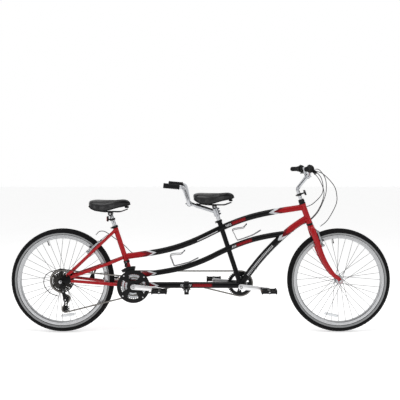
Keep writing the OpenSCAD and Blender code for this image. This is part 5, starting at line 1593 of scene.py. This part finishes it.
for name, top in (("captain", CAPTAIN_TOP), ("stoker", STOKER_TOP)):
    p = Piece(name + "_saddle_cover", None, "saddle_vinyl", [name + "_saddle"])
    p.add(saddle_shell(2.5), vinyl)
    cover = p.done(60)
    padded(cover, 3)
    cover.data.materials.clear()
    cover.data.materials.append(vinyl)
    cover.data.materials.append(vinyl_side)
    for face in cover.data.polygons:
        x, y, z = (c / MM for c in face.center)
        w, crown, low = saddle_section(x)
        panel = np.interp(x, (-122, -104, 20, 96), (0, 1, 1, 0.1))
        middle = (low + crown) / 2 - 4
        face.material_index = int(abs(z - middle) < panel * (crown - low - 16) / 2 and abs(y) > w * 0.60)
    cover.location = Vector(top * MM)
    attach(cover, name + "_post")
    # base shell and seams
    p = Piece(name + "_saddle_base", name + "_post", "black_plastic", place=shifted(*top))
    edge = [(x, saddle_section(x)[0] - 2.5, saddle_section(x)[2] + 5) for x in np.linspace(-130, 124, 44)]
    rim = np.concatenate([edge, flip(edge)[::-1]])
    p.add(tube(rim, 3.6, 12, cyclic=True), plastic)
    sheet = np.array([(x, s * (saddle_section(x)[0] - 5), saddle_section(x)[2] + 6)
                      for x in np.linspace(-126, 120, 36) for s in (1, 0.4, -0.4, -1)])
    faces = [(4 * i + k, 4 * i + k + 1, 4 * i + k + 5, 4 * i + k + 4) for i in range(35) for k in range(3)]
    p.add((sheet, faces, None), plastic)
    p.add(block((26, 56, 10), 3, shifted(-96, 0, 32)), plastic)
    p.add(block((24, 30, 12), 3, shifted(104, 0, 41)), plastic)
    p.done(50)
    p = Piece(name + "_saddle_seams", name + "_post", "saddle_vinyl", place=shifted(*top))
    for s in (1, -1):
        line = [(x, s * (saddle_section(x)[0] * 0.80 - 0.6),
                 saddle_section(x)[1] - 9.5) for x in np.linspace(-116, 112, 60)]
        p.add(tube(spline(line, 2), 0.9, 8), seam_thread)
    p.done(60)

# ---- rim brakes: local z out from the axle, x away from the stay ----

NOODLE = [(7, 30, 349), (7, 38, 356), (7, 52, 372), (4, 58, 392), (0, 48, 408), (-8, 31, 418)]
for where, place, body in (("front", FRONT_BRAKE, "front"), ("rear", REAR_BRAKE, "rear")):
    for side, mirror in (("left", np.eye(4)), ("right", MIRROR)):
        p = Piece(f"{where}_{side}_brake_arm", f"{where}_{side}_brake", "bright_alloy",
                  [f"{where}_{side}_brake"], mirror @ place)
        face = forward((7, 0, 0))
        shape = rounded([(50, 247), (47, 256), (44.5, 270), (43.6, 300), (42.5, 344), (38, 351), (34.6, 348),
                         (34.6, 300), (33.5, 272), (33, 258), (32, 247), (35, 240), (41, 238), (47, 240)], 5,
                        6)
        p.add(plate([shape, stadium((39, 294), (38.6, 322), 2.0, 2.0, 10)], 9, 1.5, face, 3), satin)
        p.add(revolve([(4.1, -6.8), (8.6, -6.8), (9, -6), (9, 6), (8.2, 7), (4.1, 7)], 36, closed=True),
              satin, forward((7, BOSS_Y, BOSS_R)))
        p.add(screw(5, 4.6, 2.6), dark_steel, forward((14, BOSS_Y, BOSS_R)))
        # pad, its post and washers
        pad = rounded([(-22, -6), (18, -6), (28, -3), (28, 4), (22, 6), (-18, 6), (-22, 3)], 3, 5)
        pad_at = placed((0, 21.4, BOSS_R + 28), (1, 0, 0), (0, 0, 1), (0, 1, 0))
        p.add(plate([pad], 9.4, 1.1, pad_at), pad_rubber)
        for x in (-13, -3, 7, 17):
            p.add(block((2, 3, 12.6), 0.5, shifted(x, 17.6, BOSS_R + 28)), rubber)
        p.add(rod((7, 25, BOSS_R + 28), (7, 45, BOSS_R + 28), 3, 20), bolt_steel)
        for y, r, h in ((26, 7, 3.2), (29.4, 8, 2.2), (42.4, 7.6, 2.4)):
            p.add(revolve([(3, 0), (r - 0.5, 0), (r, 0.6), (r, h - 0.6), (r - 0.5, h), (3, h)], 28,
                          closed=True), bolt_steel if r < 8 else dark_steel, leftward((7, y, BOSS_R + 28)))
        p.add(stud(5, 0, 4.6, 6, 0.6), bolt_steel, leftward((7, 44.6, BOSS_R + 28)))
        # return spring down the arm's face
        wire = spline([(13.4, 45, 252), (13.6, 47, 262), (13.2, 44, 284), (12.6, 41, 306), (12.4, 39.4, 326)],
                      6)
        p.add(tube(wire, 0.9, 8), bolt_steel)
        if side == "left":
            p.add(block((10, 12, 9), 2, shifted(7, 35, 348)), satin)
            p.add(tube(spline(NOODLE, 7), np.linspace(2.4, 3.0, 36), 16), bolt_steel)
        else:
            p.add(peg(5.6, 0, 3, 24), bolt_steel, forward((11.8, 38, 340)))
            p.add(screw(4.2, 4), bolt_steel, forward((14.6, 38, 340)))
            p.add(rod((7, 36, 343), (7, -25, 348), 0.9, 10), spoke_steel)
            bellows = [(1.4, 0)]
            for k in range(9):
                bellows += [(4.2 - 0.12 * k, 1 + k * 3.2), (3.0 - 0.1 * k, 2.6 + k * 3.2)]
            bellows += [(1.2, 31)]
            p.add(revolve(bellows, 24), grip_rubber, along((7, -22, 348), (7, 20, 344.6)))
        p.done(34)

# ---- cables ----


def ferrule(a, b):
    """The metal end of a cable jacket, at a, pointing from b."""
    return moved(ring(0, 3.2, 0, 9.6, 20, 0.6), along(a, b))


JACKET_R, WIRE_R = 2.5, 0.9


def jacket(piece, path, first=True, last=True):
    """A cable's jacket along a path, with a ferrule at each free end."""
    piece.add(tube(path, JACKET_R, 14), housing)
    if first:
        piece.add(ferrule(path[0], path[4]), bolt_steel)
    if last:
        piece.add(ferrule(path[-1], path[-5]), bolt_steel)


def beside(path, out, y):
    """A bare wire under a curved tube and a little to one side."""
    ahead = np.gradient(path, axis=0)
    ahead /= np.linalg.norm(ahead, axis=1)[:, None]
    down = np.cross(ahead, LEFT)
    return path[2:-2] - out * down[2:-2] + (0, y, 0)


REAR_BRAKE_CABLE = [(-432, 22, 494), (-458, 25, 512), (-498, 26, 552), (-545, 24, 586), (-590, 18, 620),
                    (-622, 8, 640), (-650, -8, 640), (-668, -24, 620)]
DERAILLEUR_HOUSING = [(-752, -74, 389), (-800, -84, 404), (-860, -90, 409), (-920, -92, 403),
                      (-966, -92, 380), (-984, -92, 340), (-976, -92, 300), (-945, -92, 264),
                      (-905, -90, 247), (-886, -88, 243)]
STEERING_CABLES = [
    [(709, -134, 1027), (724, -104, 1022), (762, -60, 984), (784, -8, 925), (779, 22, 874), (727, 38, 816),
     (676, 35, 794), (638, 24, 791)],
    [(699, 184, 1040), (728, 184, 1034), (776, 130, 984), (802, 70, 905), (792, 44, 842), (754, 36, 765),
     (700, 33, 708), (664, 15, 692)],
    [(699, -184, 1040), (730, -180, 1034), (784, -80, 980), (808, 10, 905), (798, 50, 836), (758, 46, 758),
     (702, 40, 702), (660, 2, 688)],
]
FRONT_BRAKE_CABLE = [(709, 134, 1027), (730, 104, 1030), (796, 74, 1010), (862, 50, 938), (880, 34, 874),
                     (872, 22, 809), (817, 12, 713), (768, 8, 672)]

p = Piece("frame_cable_runs", "frame", "black_plastic", ["frame_cables"])
jacket(p, spline(REAR_BRAKE_CABLE, 10))
fixed = spline(DERAILLEUR_HOUSING, 10)
BEND_FROM = 60  # the point of the loop after which the housing is built as a piece of its own, the stretch that flexes with the derailleur on the real bicycle
jacket(p, fixed[:BEND_FROM + 1], last=False)
p.add(tube(beside(TOP_PATH, 0, 20.6), WIRE_R, 8), spoke_steel)
for y in (6, -6):
    p.add(tube(beside(DOWN_PATH, 21.4, y), WIRE_R, 8), spoke_steel)
# cable stops
for at, path, out, ys in (
    (6, TOP_PATH, 0, (20.6,)), (-7, TOP_PATH, 0, (20.6,)), (-8, DOWN_PATH, 21.4, (6, -6)),
    (8, DOWN_PATH, 21.4, (6, -6)),
):
    for y in ys:
        a, b = path[at], path[at + 1]
        down = np.cross(unit(b - a), LEFT)
        spot = a - out * down + (0, y, 0)
        p.add(ring(1, 4.2, -6, 6, 20, 0.6, 1), bolt_steel, along(spot, spot + (b - a)))
p.add(ring(1, 4.6, -7, 7, 20, 0.6, 1), red, along(fixed[1], fixed[6]))
p.done(50)

p = Piece("derailleur_cable_end", None, "black_plastic")
jacket(p, fixed[BEND_FROM:], first=False)
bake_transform(p.done(50))

p = Piece("steering_cable_loops", None, "black_plastic", ["steering_cables"])
for route in STEERING_CABLES:
    jacket(p, spline(route, 10))
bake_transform(p.done(50))
p = Piece("front_brake_cable", "fork", "black_plastic")
jacket(p, spline(FRONT_BRAKE_CABLE, 10))
p.done(50)

# ---- floor, light and camera ----

floor_mat = Nodes("studio_floor")
pale = floor_mat.noise(1.5, 2)
floor_mat.set(Base_Color=floor_mat.mix(pale, (0.84, 0.84, 0.84), (0.88, 0.88, 0.88)), Roughness=0.9,
              Emission_Color=(1, 1, 1, 1), Emission_Strength=0.47)
bpy.ops.mesh.primitive_grid_add(x_subdivisions=4, y_subdivisions=4, size=60, location=(0, 0, 0))
floor = bpy.context.object
floor.name = "studio_floor"
floor.data.materials.append(floor_mat.mat)

# a white backdrop, and a dimmer room on the side that faces it
world = bpy.data.worlds.new("studio")
bpy.context.scene.world = world
world.use_nodes = True
sky = world.node_tree
facing, split = sky.nodes.new("ShaderNodeTexCoord"), sky.nodes.new("ShaderNodeSeparateXYZ")
fade = sky.nodes.new("ShaderNodeMapRange")
fade.interpolation_type = "SMOOTHSTEP"
for k, value in enumerate((-0.5, 0.80, 0.20, 1.0), 1):
    fade.inputs[k].default_value = value
sky.links.new(facing.outputs["Generated"], split.inputs[0])
sky.links.new(split.outputs[1], fade.inputs[0])
sky.links.new(fade.outputs[0], sky.nodes["Background"].inputs[1])
sky.nodes["Background"].inputs[0].default_value = (1, 1, 1, 1)
bpy.context.scene.view_settings.view_transform = "Standard"


def lamp(name, at, aim, watts, size):
    """A soft rectangular light at a place in metres, turned to a point."""
    data = bpy.data.lights.new(name, "AREA")
    data.shape = "RECTANGLE"
    data.size, data.size_y = size
    data.energy = watts
    obj = bpy.data.objects.new(name, data)
    bpy.context.scene.collection.objects.link(obj)
    obj.location = at
    obj.rotation_mode = "QUATERNION"
    obj.rotation_quaternion = (Vector(aim) - Vector(at)).to_track_quat("-Z", "Y")


lamp("overhead", at=(0.0, -0.8, 3.6), aim=(0, 0, 0.5), watts=70, size=(4.4, 1.2))
lamp("front_left", at=(-2.6, -3.4, 2.0), aim=(0, 0, 0.6), watts=22, size=(1.2, 1.6))
lamp("front_right", at=(2.8, -3.2, 1.8), aim=(0, 0, 0.6), watts=18, size=(1.2, 1.6))

# the picture takes in a width at the middle plane, about a centre there; the lens shifts to meet it
CAMERA_X, CAMERA_Y, CAMERA_Z = 0.020, -4.0, 1.05
VIEW_WIDTH, VIEW_X, VIEW_Z = 2.568, -0.0048, 0.8417
SENSOR = 36
camera = bpy.data.cameras.new("camera")
camera.sensor_width = SENSOR
camera.lens = SENSOR * -CAMERA_Y / VIEW_WIDTH
camera.shift_x = (VIEW_X - CAMERA_X) / VIEW_WIDTH
camera.shift_y = (VIEW_Z - CAMERA_Z) / VIEW_WIDTH
camera_obj = bpy.data.objects.new("camera", camera)
bpy.context.scene.collection.objects.link(camera_obj)
camera_obj.location = (CAMERA_X, CAMERA_Y, CAMERA_Z)
camera_obj.rotation_euler = (math.pi / 2, 0, 0)
bpy.context.scene.camera = camera_obj
